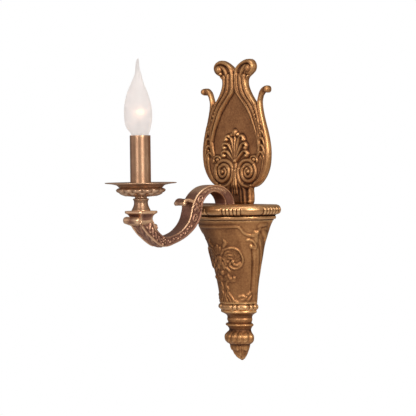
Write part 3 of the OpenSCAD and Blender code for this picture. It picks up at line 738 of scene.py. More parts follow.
# Middle line of the arm with its half thickness, (p, z, half)
ARM_LINE = [[29.2, 53.9, 8.6], [30, 58.5, 8.3], [34.5, 66, 7.2], [43.5, 72.6, 5.8],
            [57, 75.4, 4.7], [70.5, 72.2, 5.6], [81.5, 64, 7], [87.5, 54, 8.6], [90, 43.5, 9.3],
            [95.2, 33.5, 8], [103.8, 24.5, 6.6], [116, 16.8, 5.6], [130, 12, 5.6],
            [143, 9.8, 6.4], [153, 13.5, 6.5], [162, 20.2, 7], [170.3, 28.6, 8.6],
            [175.5, 37, 10.4]]
ARM_HALF_WIDTH = 10.0
ARM_CELL = 0.65
FOOT_P = 50                                # the arm's foot, which stands on the bracket, ends here

# Places of its ornament, as (p, z)
OVALS = ((82.4, 62.4), (95, 40))
CLASP = (89, 52)
ROSETTE = (148.8, 11.6)
LEAF_END = (109.4, 57.2)
SMALL_SCROLL = (160.4, 30)


def joined(parts):
    """One list of points and faces out of several closed shells."""
    verts, faces, count = [], [], 0
    for v, f in parts:
        verts.append(np.asarray(v, float))
        faces += [[i + count for i in face] for face in f]
        count += len(v)
    return np.vstack(verts), faces


def near_line(line, p, z):
    """Index of the station nearest to a place."""
    return int(np.argmin(np.hypot(line[:, 0] - p, line[:, 1] - z)))


def side_relief(s, v, half, at):
    """Ornament on the arm's side faces. s runs along the arm and v across the face."""
    r = Relief(s, v, 0.0, ARM_CELL)
    edge = half - np.abs(v)
    # sunk band between two raised edges
    r.h -= 0.6 * smoothstep(edge, 1.8, 3.2)
    r.h += 0.35 * np.exp(-((edge - 1.3) / 0.8) ** 2)
    # pierced ovals with a bead inside, above and below the clasp
    ovals = [at(*place) for place in OVALS]
    for place in ovals:
        oval = [[place + 4.6 * math.cos(t), 2.7 * math.sin(t)] for t in np.linspace(0, 2 * PI, 13)]
        r.stroke(oval, 1.1, 1.2)
        r.ball(place, 0, 1.5, 1.0, 1.5)
    # leafy clasp between them
    c = at(*CLASP)
    for ds, dv in ((-4.6, 3.2), (-4.6, -3.2), (4.6, 3.2), (4.6, -3.2)):
        r.stroke([[c, 0], [c + ds * 0.6, dv * 0.9], [c + ds, dv]], 2.1, 1.4, taper=0.3)
    r.ball(c, 0, 2.8, 2.0)
    for dv in (-6.2, 6.2):
        r.ball(c, dv, 2.1, 1.2, 1.4)
    # running leaves along the lower bend
    start, end = at(100, 29), at(136, 10.6)
    for k in range(7):
        place = start + (end - start) * k / 6
        side = 1 if k % 2 else -1
        r.ball(place, 0.9 * side, 2.6, 1.25, 0.62, lean=0.35 * side)
        r.ball(place + 2.8, -1.1 * side, 1.6, 1.0, 0.8)
    # faint leaves over the upper bend
    start, end = at(38, 68), at(73, 71)
    for k in range(7):
        place = start + (end - start) * k / 6
        r.ball(place, 0, 2.8, 0.6, 0.5, lean=0.3)
    # acanthus between the rosette and the capital
    start, end = at(155, 15), at(171, 30)
    for k in range(4):
        place = start + (end - start) * k / 3
        r.stroke([[place - 3, -2.4], [place, 0.6 + 0.5 * k], [place + 3.6, 1.6 + 0.9 * k]], 2.0, 1.5,
                 taper=0.45)
        r.ball(place + 1.6, -3.2, 1.8, 1.3)
    # rosette at the low point
    c = at(*ROSETTE)
    for k in range(6):
        t = PI * k / 3 + 0.3
        r.ball(c + 3.4 * math.cos(t), 3.2 * math.sin(t), 2.2, 1.9, 0.8, lean=t)
    r.ball(c, 0, 1.7, 2.4)
    r.settle()
    for k in range(6):
        t = PI * k / 3 + 0.3 + PI / 6
        r.ball(c + 2.5 * math.cos(t), 2.4 * math.sin(t), 0.9, 1.2)
    for place in ovals:
        for shift in (-2.2, 2.2):
            r.ball(place + shift, 0, 0.9, 0.9, 1.4)
    r.settle(-1)
    r.h += 0.12 * blurred(RNG.normal(size=s.shape), 1.6) * smoothstep(edge, 0.5, 2.5)
    r.soften(0.5)
    return r.h


def outer_relief(s, x, at):
    """Leaf sheath on the outside of the lower bend, up to the capital."""
    r = Relief(s, np.abs(x), 0.0, ARM_CELL)
    start, end = at(141, 9.6), at(175, 36)
    r.stroke([[start, 0], [end, 0]], 2.2, 0.9, "soft", taper=0.5)
    for k in range(4):
        place = start + 2 + (end - start) * k / 4.2
        reach = 3.4 + 4.4 * math.sin(PI * (k + 1) / 5.5)
        r.stroke([[place, 0.6], [place + 5, reach * 0.5], [place + 11, reach]], 2.6, 1.4, taper=0.5)
        r.ball(place + 9, reach - 0.6, 2.0, 1.5)
    r.settle()
    r.soften(0.6)
    return r.h


def arm_body():
    """The S shaped bar with its relief."""
    fine = smooth_line(ARM_LINE, 24)
    run = np.concatenate([[0], np.cumsum(np.hypot(*np.diff(fine[:, :2], axis=0).T))])
    s = np.arange(0, run[-1], ARM_CELL)
    line = np.column_stack([np.interp(s, run, fine[:, k]) for k in range(3)])
    way = directions(line[:, :2])
    normal = np.column_stack([-way[:, 1], way[:, 0]])
    half = line[:, 2]

    def at(p, z):
        return s[near_line(line, p, z)]

    across = np.linspace(-1, 1, 33)
    up = np.linspace(-1, 1, 31)
    rows = []
    corner = 1.1

    def rounding(distance):
        d = np.clip(distance, 0, corner)
        return corner - np.sqrt(corner ** 2 - (corner - d) ** 2)

    def face(side):
        """Points of one face: 0 over, 1 towards +x, 2 under, 3 towards -x."""
        sign = 1 if side in (0, 1) else -1
        if side in (0, 2):
            a = across[:-1] * sign
            ss, x = np.meshgrid(s, a * ARM_HALF_WIDTH, indexing="ij")
            drop = rounding(ARM_HALF_WIDTH - np.abs(x))
            height = -drop - 0.25 * (x / ARM_HALF_WIDTH) ** 2
            if side == 2:
                height = height + outer_relief(ss, x, at)
            v = sign * (half[:, None] + height)
        else:
            a = -up[:-1] * sign
            v = a[None, :] * half[:, None]
            ss = np.broadcast_to(s[:, None], v.shape)
            drop = rounding(half[:, None] - np.abs(v))
            x = sign * (ARM_HALF_WIDTH - drop + side_relief(ss, v, half[:, None], at))
        return np.stack([x, line[:, :1] + v * normal[:, :1], line[:, 1:2] + v * normal[:, 1:2]], -1)

    section = np.concatenate([face(k) for k in range(4)], axis=1)
    foot = section[:, :, 1] < FOOT_P
    section[:, :, 2] = np.where(foot, np.maximum(section[:, :, 2], RIM_Z), section[:, :, 2])
    return section.reshape(-1, 3), capped_faces(len(s), section.shape[1])


def tube_along(points, radii, sides=12):
    """Closed round tube through points with rounded ends."""
    line = smooth_line(np.column_stack([np.array(points, float), radii]), 8)
    place, radius = line[:, :3], line[:, 3]
    way = directions(place)
    side = np.cross(way, [1.0, 0.0, 0.0])
    side = np.where(np.linalg.norm(side, axis=1)[:, None] < 0.2, np.cross(way, [0, 1.0, 0]), side)
    side /= np.linalg.norm(side, axis=1)[:, None]
    other = np.cross(way, side)
    radius = radius.copy()
    ends = np.minimum(np.arange(len(radius)), np.arange(len(radius))[::-1])
    radius *= np.sqrt(np.clip(ends / 3.0, 0.05, 1))
    t = np.linspace(0, 2 * PI, sides, endpoint=False)
    ring = (place[:, None] + radius[:, None, None]
            * (np.cos(t)[None, :, None] * side[:, None] + np.sin(t)[None, :, None] * other[:, None]))
    return ring.reshape(-1, 3), capped_faces(len(place), sides)


def squared(levels, centre_p, round_part=0.16, per_side=14):
    """Closed square block from (half width, z) levels, with softened corners."""
    t = np.linspace(0, 2 * PI, 4 * per_side, endpoint=False)
    n = 2 / round_part
    shape = (np.abs(np.cos(t)) ** n + np.abs(np.sin(t)) ** n) ** (-1 / n)
    unit = np.column_stack([shape * np.cos(t), shape * np.sin(t)])
    lv = np.array(levels, float)
    verts = np.concatenate([np.column_stack([h * unit[:, 0], centre_p + h * unit[:, 1],
                                             np.full(len(t), z)]) for h, z in lv])
    faces = grid_faces(len(lv), len(t), wrap_cols=True)
    faces += [list(range(len(t)))[::-1], [(len(lv) - 1) * len(t) + i for i in range(len(t))]]
    return verts, faces


def bolster(p, z, profile, sides):
    """Closed roll across the arm from (x, radius) points."""
    t = np.linspace(0, 2 * PI, sides, endpoint=False)
    pr = np.array(profile, float)
    verts = np.concatenate([np.column_stack([np.full(sides, x), p + r * np.cos(t),
                                             z + r * np.sin(t)]) for x, r in pr])
    return verts, capped_faces(len(pr), sides)


def scroll_points(x, p, z, radius, start, turns, growth, count=16):
    """Flat spiral at x, from its outer end inwards, as (x, p, z)."""
    t = np.linspace(0, 1, count)
    angle = math.radians(start) + 2 * PI * turns * t
    r = radius * (1 - growth * t)
    return np.column_stack([np.full(count, x), p + r * np.cos(angle), z + r * np.sin(angle)])


def leaf_curl():
    """Smooth leaf that rolls off the arm where its two bends meet."""
    spine = smooth_line([[86.6, 55.4], [90.6, 57.8], [95, 59.4], [100, 60.6], [104.4, 60.8],
                         [108, 59.4], [109.8, 57]], 7)
    way = directions(spine)
    normal = np.column_stack([-way[:, 1], way[:, 0]])
    across = np.linspace(-1, 1, 41)
    run = np.linspace(0, 1, len(spine))
    width = (ARM_HALF_WIDTH - 0.4) * (1 - 0.10 * run ** 4)
    x = width[:, None] * across[None, :]
    lift = 1.1 * np.abs(across) ** 3 - 0.7 * np.exp(-(across / 0.16) ** 2)
    lift = lift[None, :] * smoothstep(run, 0.1, 0.6)[:, None]
    thick = 2.4 * np.sqrt(np.clip(1 - (2 * run - 1) ** 8, 0.05, 1))[:, None] * np.ones(len(across))
    thick *= np.sqrt(np.clip(1 - np.abs(across) ** 10, 0.05, 1))[None, :]
    over = spine[:, None] + normal[:, None] * (thick + lift)[:, :, None]
    under = spine[:, None] - normal[:, None] * (thick - lift)[:, :, None]
    ring = np.concatenate([np.dstack([x, over]), np.dstack([x[:, ::-1], under[:, ::-1]])], axis=1)
    return ring.reshape(-1, 3), capped_faces(len(spine), ring.shape[1])


def arm_painted_light(x, p, z):
    """Painted light: the capital and the top of the upper bend are lighter, where the light from above
    falls on them.
    """
    return 0.18 * smoothstep(z, 33, 40) * smoothstep(p, 150, 162) + 0.26 * smoothstep(z, 66, 74)


def make_arm():
    """The whole arm as one piece of overlapping closed shells."""
    top = SPOOL_LOW[2]
    parts = [arm_body(), leaf_curl()]
    # capital: neck, cavetto and square abacus
    parts.append(squared([[8, -16.5], [10.4, -15.2], [10.8, -13], [10.4, -11], [10.7, -9],
                          [11, -7.4], [11.8, -5.6], [13.2, -4], [14.9, -3], [15.1, -2.4],
                          [15.1, -0.5], [14.7, 0]] + np.array([0, top]), CANDLE_P, 0.13))
    # roll in front of the capital, with a scroll on each end
    roll_p, roll_z = CANDLE_P + 14.8, top - 11.8
    parts.append(bolster(roll_p, roll_z, [[-14.4, 1.0], [-14, 3], [-12.8, 4.3], [-10.4, 4.8],
                                          [-6, 4.4], [0, 4.0], [6, 4.2], [10, 4.4], [12, 4],
                                          [13, 2.8], [13.4, 1.0]], 28))
    parts.append(squared([[4, -18], [9.4, -17], [10.4, -12], [10.2, -8.4], [8, -7.4]]
                         + np.array([0, top]), CANDLE_P + 6.4, 0.3))
    # rib down the front edges that starts as a scroll on the roll's end
    fine = smooth_line(ARM_LINE, 8)
    way = directions(fine[:, :2])
    edge = fine[:, :2] + np.column_stack([way[:, 1], -way[:, 0]]) * (fine[:, 2:] - 0.3)
    edge = edge[edge[:, 0] > 146][::-5]
    for side in (-1, 1):
        x = side * (ARM_HALF_WIDTH - 0.5)
        curl = scroll_points(side * 12.6, roll_p - 0.6, roll_z, 3.6, 250, -1.1, 0.7)[::-1]
        rib = [[side * 11.8, 188.4, 34]] + [[x, p, z] for p, z in edge]
        parts.append(tube_along(np.vstack([curl, rib]),
                                np.concatenate([np.full(len(curl), 1.15), [1.3] * len(rib)])))
        small = scroll_points(side * 9.3, *SMALL_SCROLL, 3.3, 200, 1.25, 0.66)
        parts.append(tube_along(small, np.full(len(small), 1.0)))
        parts.append(tube_along([[side * 9.6, 166.4, 38], [side * 9.6, 164.4, 34],
                                 [side * 9.6, 161.6, 26.6], [side * 9.6, 156.6, 22.4]],
                                [0.8, 1.1, 1.1, 0.8]))
    # rolled end of the leaf curl, and the roll between the small scrolls
    for place, half in ((LEAF_END, [[0, 2.7], [4, 2.8], [8, 3.1], [9.4, 2.2], [9.8, 0.6]]),
                        (SMALL_SCROLL, [[0, 2.9], [4, 3.0], [8.4, 3.4], [9.3, 2.4], [9.6, 0.8]])):
        profile = [[-x, radius] for x, radius in half[:0:-1]] + half
        parts.append(bolster(*place, profile, 20))
    verts, faces = joined(parts)
    # lift adds painted light to the capital and the top of the upper bend
    return new_piece("scroll_arm", verts, faces, "sconce", ["arm"], "arm_bronze", sharp=60,
                     reach=1.4, gain=1.1, lift=arm_painted_light)


# ---- Candle column ----

ROUND = np.linspace(0, 360, 241)
BORE = 5.1                                 # clears the threaded tube that clamps the column


def make_spool():
    """Turned spacer between the arm's capital and the cup."""
    base = SPOOL_LOW[2]
    line = smooth_line([[11.6, 0.1], [12, 0.7], [11.6, 1.6], [10.4, 4], [9.1, 7.4], [8.75, 10.6],
                        [9.3, 13.2], [9.9, 14], [10, 15], [9.4, 15.5], [7.8, 15.8],
                        [7.5, 17.5]], 5)
    loop = np.vstack([[[BORE, 0]], line, [[BORE, 17.5]]]) + [0, base]
    return turned("turned_spool", loop, "sconce", ["spool"], "satin_brass", ROUND,
                  centre_p=CANDLE_P, sharp=60, gain=0.8)


def make_cup():
    """Lobed cup under the drip pan."""
    base = CUP_LOW[2]
    outer = smooth_line([[9, 0], [13, 0.4], [17, 1.3], [21, 2.5], [24.6, 4], [27.6, 5.6],
                         [29.8, 7.3], [30.6, 8.8], [29.6, 10.3], [26.6, 11.5]], 7)
    loop = np.vstack([[[BORE, 0]], outer, [[BORE, 11.5]]]) + [0, base]
    petals = 14

    def offset(angle, r, z):
        h = z - base
        # upper row of eggs and a lower row of lobes between them
        eggs = np.abs(np.cos(np.radians(angle) * petals / 2)) ** 0.8
        lobes = np.abs(np.sin(np.radians(angle) * petals / 2)) ** 0.8
        upper = smoothstep(h, 4.8, 6.4) * smoothstep(h, 10.9, 9.6)
        lower = smoothstep(h, 0.8, 2) * smoothstep(h, 6.2, 4.4)
        out = upper * (2.0 * eggs - 1.4) + lower * (2.1 * lobes - 1.3)
        down = upper * (0.5 - eggs) * 0.9 - lower * lobes * 1.0
        return out, down

    return turned("petal_cup_cast", loop, "sconce", ["petal_cup"], "rubbed_brass",
                  np.linspace(0, 360, 421), centre_p=CANDLE_P, offset=offset, sharp=75, gain=1.1,
                  lift=0.08)


def make_pan():
    """Thin spun drip pan."""
    base = PAN_LOW[2]
    rim = PAN_HIGH[0]
    under = smooth_line([[26.2, 0], [27.6, 0.5], [28.6, 1.6], [30.2, 2.9], [33.4, 3.9], [38, 4.7],
                         [43, 5.2], [rim - 0.5, 5.5]], 6)
    lip = arc((rim - 0.5, 6.0), 0.5, -80, 80, 7)
    over = smooth_line([[rim - 0.6, 6.5], [43, 6.2], [38, 5.7], [33, 4.9], [29.6, 3.8], [28, 2.5],
                        [27, 1.4], [25.4, 1.05]], 6)
    loop = np.vstack([[[BORE, 0], [15, 0]], under, lip, over, [[15, 1.0], [BORE, 1.0]]]) + [0, base]
    # lift is painted light that brightens the pan's shaded underside
    return turned("drip_pan_spun", loop, "sconce", ["drip_pan"], "satin_brass", ROUND,
                  centre_p=CANDLE_P, sharp=60, gain=0.6, lift=0.12)


def make_tube():
    """Brass tube that stands in for the candle."""
    low, high = TUBE_LOW[2], TUBE_HIGH[2]
    outer, inner = TUBE_HIGH[0], TUBE_HIGH[0] - 0.7
    shoulder = high - 0.35
    side = np.linspace(low, shoulder, 26)
    loop = np.vstack([[[inner, low]], np.column_stack([np.full(26, outer), side]),
                      arc((outer - 0.35, shoulder), 0.35, 0, 180, 8), [[inner, shoulder]]])
    return turned("candle_sleeve_tube", loop, "candle_sleeve", ["candle_tube"], "satin_brass",
                  np.linspace(0, 360, 145), centre_p=CANDLE_P, sharp=60, gain=0.5)


# ---- Bulb ----

GLASS_LINE = [[7.4, 0], [9.6, 0.5], [10.4, 1.4], [11.6, 4], [14, 8.3], [15.6, 12.5], [17.1, 18],
              [17.5, 25], [17.5, 32], [16.9, 38.5], [15.2, 46.5], [12.6, 55.5], [9.3, 63.5],
              [6.2, 71.5], [4, 78.5], [2.8, 85], [2.2, 90], [1.7, 94], [0.9, 96.8]]
GLASS_WALL = 0.8
GLASS_SOLID = 82                           # above this height the drawn-out tip is solid
GLASS_LEAN = math.radians(46)              # way in which it leans, from -x towards the room


def make_glass():
    """Hollow flame-tip bulb."""
    base, tip = GLASS_LOW[2], GLASS_HIGH[2]
    outer = smooth_line(GLASS_LINE, 6)
    keep = outer[:, 1] < GLASS_SOLID
    inner = outer[keep][::-1] - [GLASS_WALL, 0]
    inner = inner[inner[:, 1] > 1.2]
    loop = np.vstack([outer, [[0, tip - base], [0, GLASS_SOLID - 0.4]], inner,
                      [[6.6, 0.9], [6.6, 0]]]) + [0, base]

    def lean(verts):
        # the glass sits a little askew in its cap, and its tip was drawn out by hand
        h = verts[:, 2] - base
        shift = 2.0 * smoothstep(h, 1, 14) + 0.7 * np.exp(-((h - 56) / 18) ** 2)
        shift += 0.8 * np.sin(np.clip(h - 78, 0, 20) / 20 * PI) - 0.6 * smoothstep(h, 66, 78)
        verts[:, 0] -= shift * math.cos(GLASS_LEAN)
        verts[:, 1] += shift * math.sin(GLASS_LEAN)
        return verts

    piece = turned("flame_glass", loop, "bulb", ["bulb_glass"], "frosted_glass",
                   np.linspace(0, 360, 121), centre_p=CANDLE_P, sharp=60, gain=0.4)
    co = np.zeros(len(piece.data.vertices) * 3)
    piece.data.vertices.foreach_get("co", co)
    verts = co.reshape(-1, 3) / MM * [1, -1, 1]
    verts = lean(verts) * [1, -1, 1] * MM
    piece.data.vertices.foreach_set("co", verts.reshape(-1))
    piece.data.update()
    return piece


# ---- Materials ----

def node_tree(name):
    """A new material with its node tree, its shader and a maker of linked nodes."""
    material = bpy.data.materials.new(name)
    material.use_nodes = True
    tree = material.node_tree
    shader = tree.nodes["Principled BSDF"]

    def add(kind, inputs=(), **settings):
        node = tree.nodes.new("ShaderNode" + kind)
        for key, value in settings.items():
            setattr(node, key, value)
        for key, value in dict(inputs).items():
            if isinstance(value, bpy.types.NodeSocket):
                tree.links.new(value, node.inputs[key])
            else:
                node.inputs[key].default_value = value
        return node

    return material, tree, shader, add


def sum_of(add, a, b, factor):
    """a + factor * (b - 0.5), kept between 0 and 1."""
    scaled = add("Math", {0: b, 1: factor, 2: -0.5 * factor}, operation="MULTIPLY_ADD")
    return add("Math", {0: a, 1: scaled.outputs[0]}, operation="ADD", use_clamp=True).outputs[0]


def colour_ramp(add, fac, stops):
    """Colour ramp through (position, (red, green, blue)) stops."""
    node = add("ValToRGB", {"Fac": fac})
    ramp = node.color_ramp
    ramp.elements[0].position, ramp.elements[1].position = stops[0][0], stops[-1][0]
    for position, _ in stops[1:-1]:
        ramp.elements.new(position)
    for element, (_, colour) in zip(ramp.elements, stops):
        element.color = (*colour, 1)
    return node.outputs["Color"]


def noise(add, vector, scale, detail, roughness=0.55):
    """Value of a noise texture."""
    return add("TexNoise", {"Vector": vector, "Scale": scale, "Detail": detail,
                            "Roughness": roughness}).outputs["Fac"]


def surface(tree, shader, add, colour, gloss, rough, grain, strength, distance):
    """Links a colour, a roughness that goes from rough[0] to rough[1] with gloss, and a bump."""
    tree.links.new(colour, shader.inputs["Base Color"])
    span = add("MapRange", {"Value": gloss, "To Min": rough[0], "To Max": rough[1]})
    tree.links.new(span.outputs[0], shader.inputs["Roughness"])
    bump = add("Bump", {"Height": grain, "Strength": strength, "Distance": distance})
    tree.links.new(bump.outputs["Normal"], shader.inputs["Normal"])


def aged_metal(name, stops, rough, shaded, stretch=(1, 1, 1)):
    """Metal whose colour and gloss follow its relief, darker in hollows with painted shade over the
    patina, with mottled patina and a fine grain. It is smoothest, rough[0], where it is rubbed bright.
    Stretch draws the grain out along an axis."""
    material, tree, shader, add = node_tree(name)
    where = add("TexCoord").outputs["Object"]
    lined = add("Mapping", {"Vector": where, "Scale": stretch}).outputs["Vector"]
    broad = noise(add, where, 55, 5, 0.6)
    fine = noise(add, lined, 380, 4, 0.65)
    if shaded:
        height = add("Attribute", attribute_name="shade").outputs["Fac"]
    else:
        height = noise(add, where, 130, 4, 0.6)
    tone = sum_of(add, sum_of(add, height, broad, 0.5), fine, 0.35)
    surface(tree, shader, add, colour_ramp(add, tone, stops), sum_of(add, tone, fine, 0.6),
            rough[::-1], noise(add, lined, 1400, 2), 0.12, 0.0003)
    shader.inputs["Metallic"].default_value = 0.85
    return material


def plain_material(name, light, dark, rough, metallic=0.0, scale=300.0, **sockets):
    """Machined metal, moulded plastic or rubber with a slight mottle and a fine grain."""
    material, tree, shader, add = node_tree(name)
    where = add("TexCoord").outputs["Object"]
    mottle = noise(add, where, scale, 4)
    surface(tree, shader, add, colour_ramp(add, mottle, [(0.3, dark), (0.7, light)]), mottle,
            rough, noise(add, where, 5 * scale, 2), 0.1, 0.0002)
    shader.inputs["Metallic"].default_value = metallic
    for socket, value in sockets.items():
        shader.inputs[socket.replace("_", " ")].default_value = value
    return material


# Colours of the aged castings from hollow to ridge; the dark hollow end is painted shade as well as
# patina
ANTIQUE = [(0.16, (0.055, 0.020, 0.009)), (0.40, (0.215, 0.090, 0.034)),
           (0.60, (0.375, 0.175, 0.067)), (0.90, (0.62, 0.345, 0.145))]
RUBBED = [(0.14, (0.075, 0.029, 0.013)), (0.40, (0.34, 0.165, 0.066)),
          (0.60, (0.50, 0.265, 0.115)), (0.88, (0.76, 0.47, 0.23))]
SATIN = [(0.20, (0.15, 0.075, 0.042)), (0.45, (0.32, 0.18, 0.106)),
         (0.60, (0.41, 0.245, 0.147)), (0.88, (0.72, 0.48, 0.31))]
BRONZE = [(0.16, (0.075, 0.031, 0.020)), (0.42, (0.225, 0.104, 0.072)),
          (0.60, (0.325, 0.163, 0.104)), (0.86, (0.70, 0.44, 0.26))]


def frosted(name):
    """Frosted bulb glass, lit from inside."""
    material, tree, shader, add = node_tree(name)
    where = add("TexCoord").outputs["Object"]
    cloud = noise(add, where, 90, 3)
    colour = colour_ramp(add, cloud, [(0.3, (0.50, 0.475, 0.465)), (0.7, (0.54, 0.515, 0.505))])
    surface(tree, shader, add, colour, cloud, (0.6, 0.68), noise(add, where, 2500, 2), 0.1, 0.0001)
    shader.inputs["Transmission Weight"].default_value = 0.8
    shader.inputs["IOR"].default_value = 1.44
    shader.inputs["Emission Color"].default_value = (1.0, 0.95, 0.92, 1)
    shader.inputs["Emission Strength"].default_value = 0.25
    return material


COIL_HEIGHT = 1.4                          # of the coil, at the top of the filament
COIL_GLOW, SUPPORT_GLOW = 26.0, 0.3


def glowing(name):
    """Tungsten coil that glows, on supports that stay dim."""
    material, tree, shader, add = node_tree(name)
    where = add("TexCoord").outputs["Object"]
    heat = colour_ramp(add, noise(add, where, 900, 2), [(0.3, (1.0, 0.42, 0.18)),
                                                        (0.7, (1.0, 0.52, 0.25))])
    tree.links.new(heat, shader.inputs["Emission Color"])
    span = add("MapRange", {"Value": noise(add, where, 2000, 2), "To Min": 0.3, "To Max": 0.5})
    tree.links.new(span.outputs[0], shader.inputs["Roughness"])
    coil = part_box("filament")[1][2] - COIL_HEIGHT * MM
    up = add("SeparateXYZ", {"Vector": where}).outputs["Z"]
    lit = add("MapRange", {"Value": up, "From Min": coil - 0.6 * MM, "From Max": coil,
                           "To Min": SUPPORT_GLOW, "To Max": COIL_GLOW})
    tree.links.new(lit.outputs[0], shader.inputs["Emission Strength"])
    shader.inputs["Base Color"].default_value = (0.3, 0.28, 0.26, 1)
    shader.inputs["Metallic"].default_value = 1.0
    return material


# Slots whose metal follows the relief: colours, roughness and what else differs
CAST = {
    "antique_brass": (ANTIQUE, (0.34, 0.62), {}),
    "rubbed_brass": (RUBBED, (0.24, 0.48), {}),
    "satin_brass": (SATIN, (0.31, 0.46), {"stretch": (2.5, 2.5, 0.4)}),
    "arm_bronze": (BRONZE, (0.34, 0.6), {}),
}
# Other slots: light and dark colour, roughness and what else differs
METAL = {"metallic": 1.0}
PLAIN = {
    "plain_brass": ((0.78, 0.55, 0.24), (0.62, 0.42, 0.17), (0.22, 0.38), METAL),
    "zinc_steel": ((0.66, 0.67, 0.68), (0.46, 0.48, 0.5), (0.28, 0.46), METAL),
    "bright_nickel": ((0.80, 0.78, 0.73), (0.66, 0.64, 0.6), (0.14, 0.28), METAL),
    "solder": ((0.66, 0.66, 0.67), (0.45, 0.45, 0.46), (0.35, 0.6), METAL),
    "black_rubber": ((0.035, 0.035, 0.034), (0.018, 0.018, 0.018), (0.6, 0.8), {}),
    "white_plastic": ((0.82, 0.80, 0.74), (0.72, 0.69, 0.62), (0.4, 0.55), {}),
    "bakelite": ((0.045, 0.036, 0.03), (0.02, 0.017, 0.015), (0.25, 0.4), {}),
    "brown_insulation": ((0.19, 0.085, 0.04), (0.12, 0.05, 0.025), (0.3, 0.45), {}),
    "blue_insulation": ((0.03, 0.12, 0.42), (0.02, 0.08, 0.3), (0.3, 0.45), {}),
    "green_insulation": ((0.75, 0.62, 0.04), (0.06, 0.32, 0.06), (0.3, 0.45), {"scale": 120}),
    "clear_glass": ((0.92, 0.95, 0.95), (0.85, 0.9, 0.9), (0.02, 0.08),
                    {"Transmission_Weight": 1.0, "IOR": 1.5}),
}


def look(slot, shaded):
    """New material for a slot. A shaded metal follows the relief of its piece."""
    if slot in CAST:
        stops, rough, more = CAST[slot]
        return aged_metal(slot, stops, rough, shaded, **more)
    if slot in PLAIN:
        light, dark, rough, more = PLAIN[slot]
        return plain_material(slot, light, dark, rough, **more)
    return {"frosted_glass": frosted, "tungsten": glowing}[slot](slot)


# Screws drawn in the castings' finish, though the record has all screws in zinc
TONED = {"hanger_screws": "antique_brass", "plate_screws": "antique_brass"}


def dress(pieces):
    """Gives the pieces of this script materials that follow their relief, and the CAD nodes the
    same ones with a noise in its place."""
    made = {}
    slots = {part["node"]: part["material_slot"] for part in frame["record"]["subparts"]}
    wanted = [(node, TONED.get(name, slots[name]), False) for name, node in frame["nodes"].items()]
    wanted += [(piece, slot, True) for piece, slot in pieces]
    for item, slot, shaded in wanted:
        key = (slot, shaded)
        if key not in made:
            made[key] = look(slot, shaded)
            made[key].name = slot + ("_relief" if shaded else "_cad")
        item.data.materials.clear()
        item.data.materials.append(made[key])


DETAILED = ((make_tulip, "antique_brass"), (make_shell, "antique_brass"), (make_rim, "rubbed_brass"),
            (make_bead_ring, "rubbed_brass"), (make_finial, "antique_brass"), (make_arm, "arm_bronze"),
            (make_spool, "satin_brass"), (make_cup, "satin_brass"), (make_pan, "satin_brass"),
            (make_tube, "satin_brass"), (make_glass, "frosted_glass"))

dress([(make(), slot) for make, slot in DETAILED])


# ---- Studio ----

AZIMUTH, ELEVATION, ROLL = math.radians(46), math.radians(1.8), math.radians(-0.7)
DISTANCE = 2.2
TARGET = np.array([0, -60, 50]) * MM
LENS = 146.5
FLOOR_Z, FLOOR_RADIUS = -0.9, 1.6
ROOM_LIGHT = ((1.0, 0.95, 0.94), 0.22)
BACKGROUND = ((1, 1, 1), 1.0)
# Soft lights: name, place, size, power and colour
LIGHTS = (("right_box", (0.8, 1.85, 0.7), (0.34, 1.5), 37, (1.0, 0.97, 0.93)),
          ("left_box", (-1.1, 1.7, 0.6), (0.32, 1.5), 20, (1.0, 0.98, 0.97)),
          ("side", (2.0, 0.35, 0.4), (0.8, 1.6), 4, (1.0, 0.95, 0.9)),
          ("left_fill", (-2.0, 0.0, 0.3), (1.4, 1.6), 4.0, (1.0, 0.90, 0.95)),
          ("top", (0.2, 0.6, 1.9), (1.0, 1.0), 12, (1.0, 1.0, 1.0)))

BACK = np.array([math.sin(AZIMUTH) * math.cos(ELEVATION), -math.cos(AZIMUTH) * math.cos(ELEVATION),
                 math.sin(ELEVATION)])
RIGHT = np.array([math.cos(AZIMUTH), math.sin(AZIMUTH), 0])
UP = np.cross(BACK, RIGHT)


def facing(place, target, roll=0.0):
    """Rotation that makes the local -Z axis point from a place to a target."""
    way = Vector(np.asarray(target) - np.asarray(place))
    return (way.to_track_quat("-Z", "Y") @ Quaternion((0, 0, 1), roll)).to_euler()


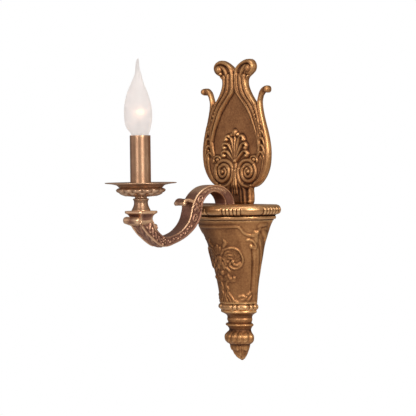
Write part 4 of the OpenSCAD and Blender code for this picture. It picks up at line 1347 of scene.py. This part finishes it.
def make_camera():
    """Camera that sees the object as the photograph does."""
    data = bpy.data.cameras.new("camera")
    data.lens = LENS
    data.clip_start = 0.05
    camera = bpy.data.objects.new("camera", data)
    camera.location = TARGET + BACK * DISTANCE
    camera.rotation_euler = facing(camera.location, TARGET, ROLL)
    bpy.context.scene.collection.objects.link(camera)
    bpy.context.scene.camera = camera


def area_light(name, place, size, power, colour):
    """Rectangular soft light at (right, back, up) metres from the target, as the camera sees it."""
    data = bpy.data.lights.new(name, "AREA")
    data.shape = "RECTANGLE"
    data.size, data.size_y = size
    data.energy = power
    data.color = colour
    light = bpy.data.objects.new(name, data)
    spot = TARGET + place[0] * RIGHT + place[1] * BACK + place[2] * UP
    light.location = spot
    light.rotation_euler = facing(spot, TARGET)
    bpy.context.scene.collection.objects.link(light)


def make_world():
    """White behind the object, and a paler, dimmer room for the light that falls on it."""
    world = bpy.data.worlds.new("studio")
    bpy.context.scene.world = world
    world.use_nodes = True
    tree = world.node_tree
    tree.nodes.clear()
    out = tree.nodes.new("ShaderNodeOutputWorld")
    mix = tree.nodes.new("ShaderNodeMixShader")
    path = tree.nodes.new("ShaderNodeLightPath")
    tree.links.new(path.outputs["Is Camera Ray"], mix.inputs[0])
    for place, (colour, strength) in enumerate((ROOM_LIGHT, BACKGROUND), start=1):
        shade = tree.nodes.new("ShaderNodeBackground")
        shade.inputs["Color"].default_value = (*colour, 1)
        shade.inputs["Strength"].default_value = strength
        tree.links.new(shade.outputs[0], mix.inputs[place])
    tree.links.new(mix.outputs[0], out.inputs["Surface"])


def make_floor():
    """Pale floor disc below the object."""
    bm = bmesh.new()
    bmesh.ops.create_circle(bm, cap_ends=True, radius=FLOOR_RADIUS, segments=96)
    mesh = bpy.data.meshes.new("floor")
    bm.to_mesh(mesh)
    bm.free()
    floor = bpy.data.objects.new("floor", mesh)
    floor.location = (0, 0, FLOOR_Z)
    bpy.context.scene.collection.objects.link(floor)
    floor.data.materials.append(plain_material("pale_floor", (0.86, 0.86, 0.86), (0.82, 0.82, 0.82),
                                               (0.7, 0.8), scale=4.0))


make_camera()
make_world()
make_floor()
for light in LIGHTS:
    area_light(*light)

bpy.context.scene.view_settings.view_transform = "Standard"
bpy.context.scene.view_settings.look = "None"

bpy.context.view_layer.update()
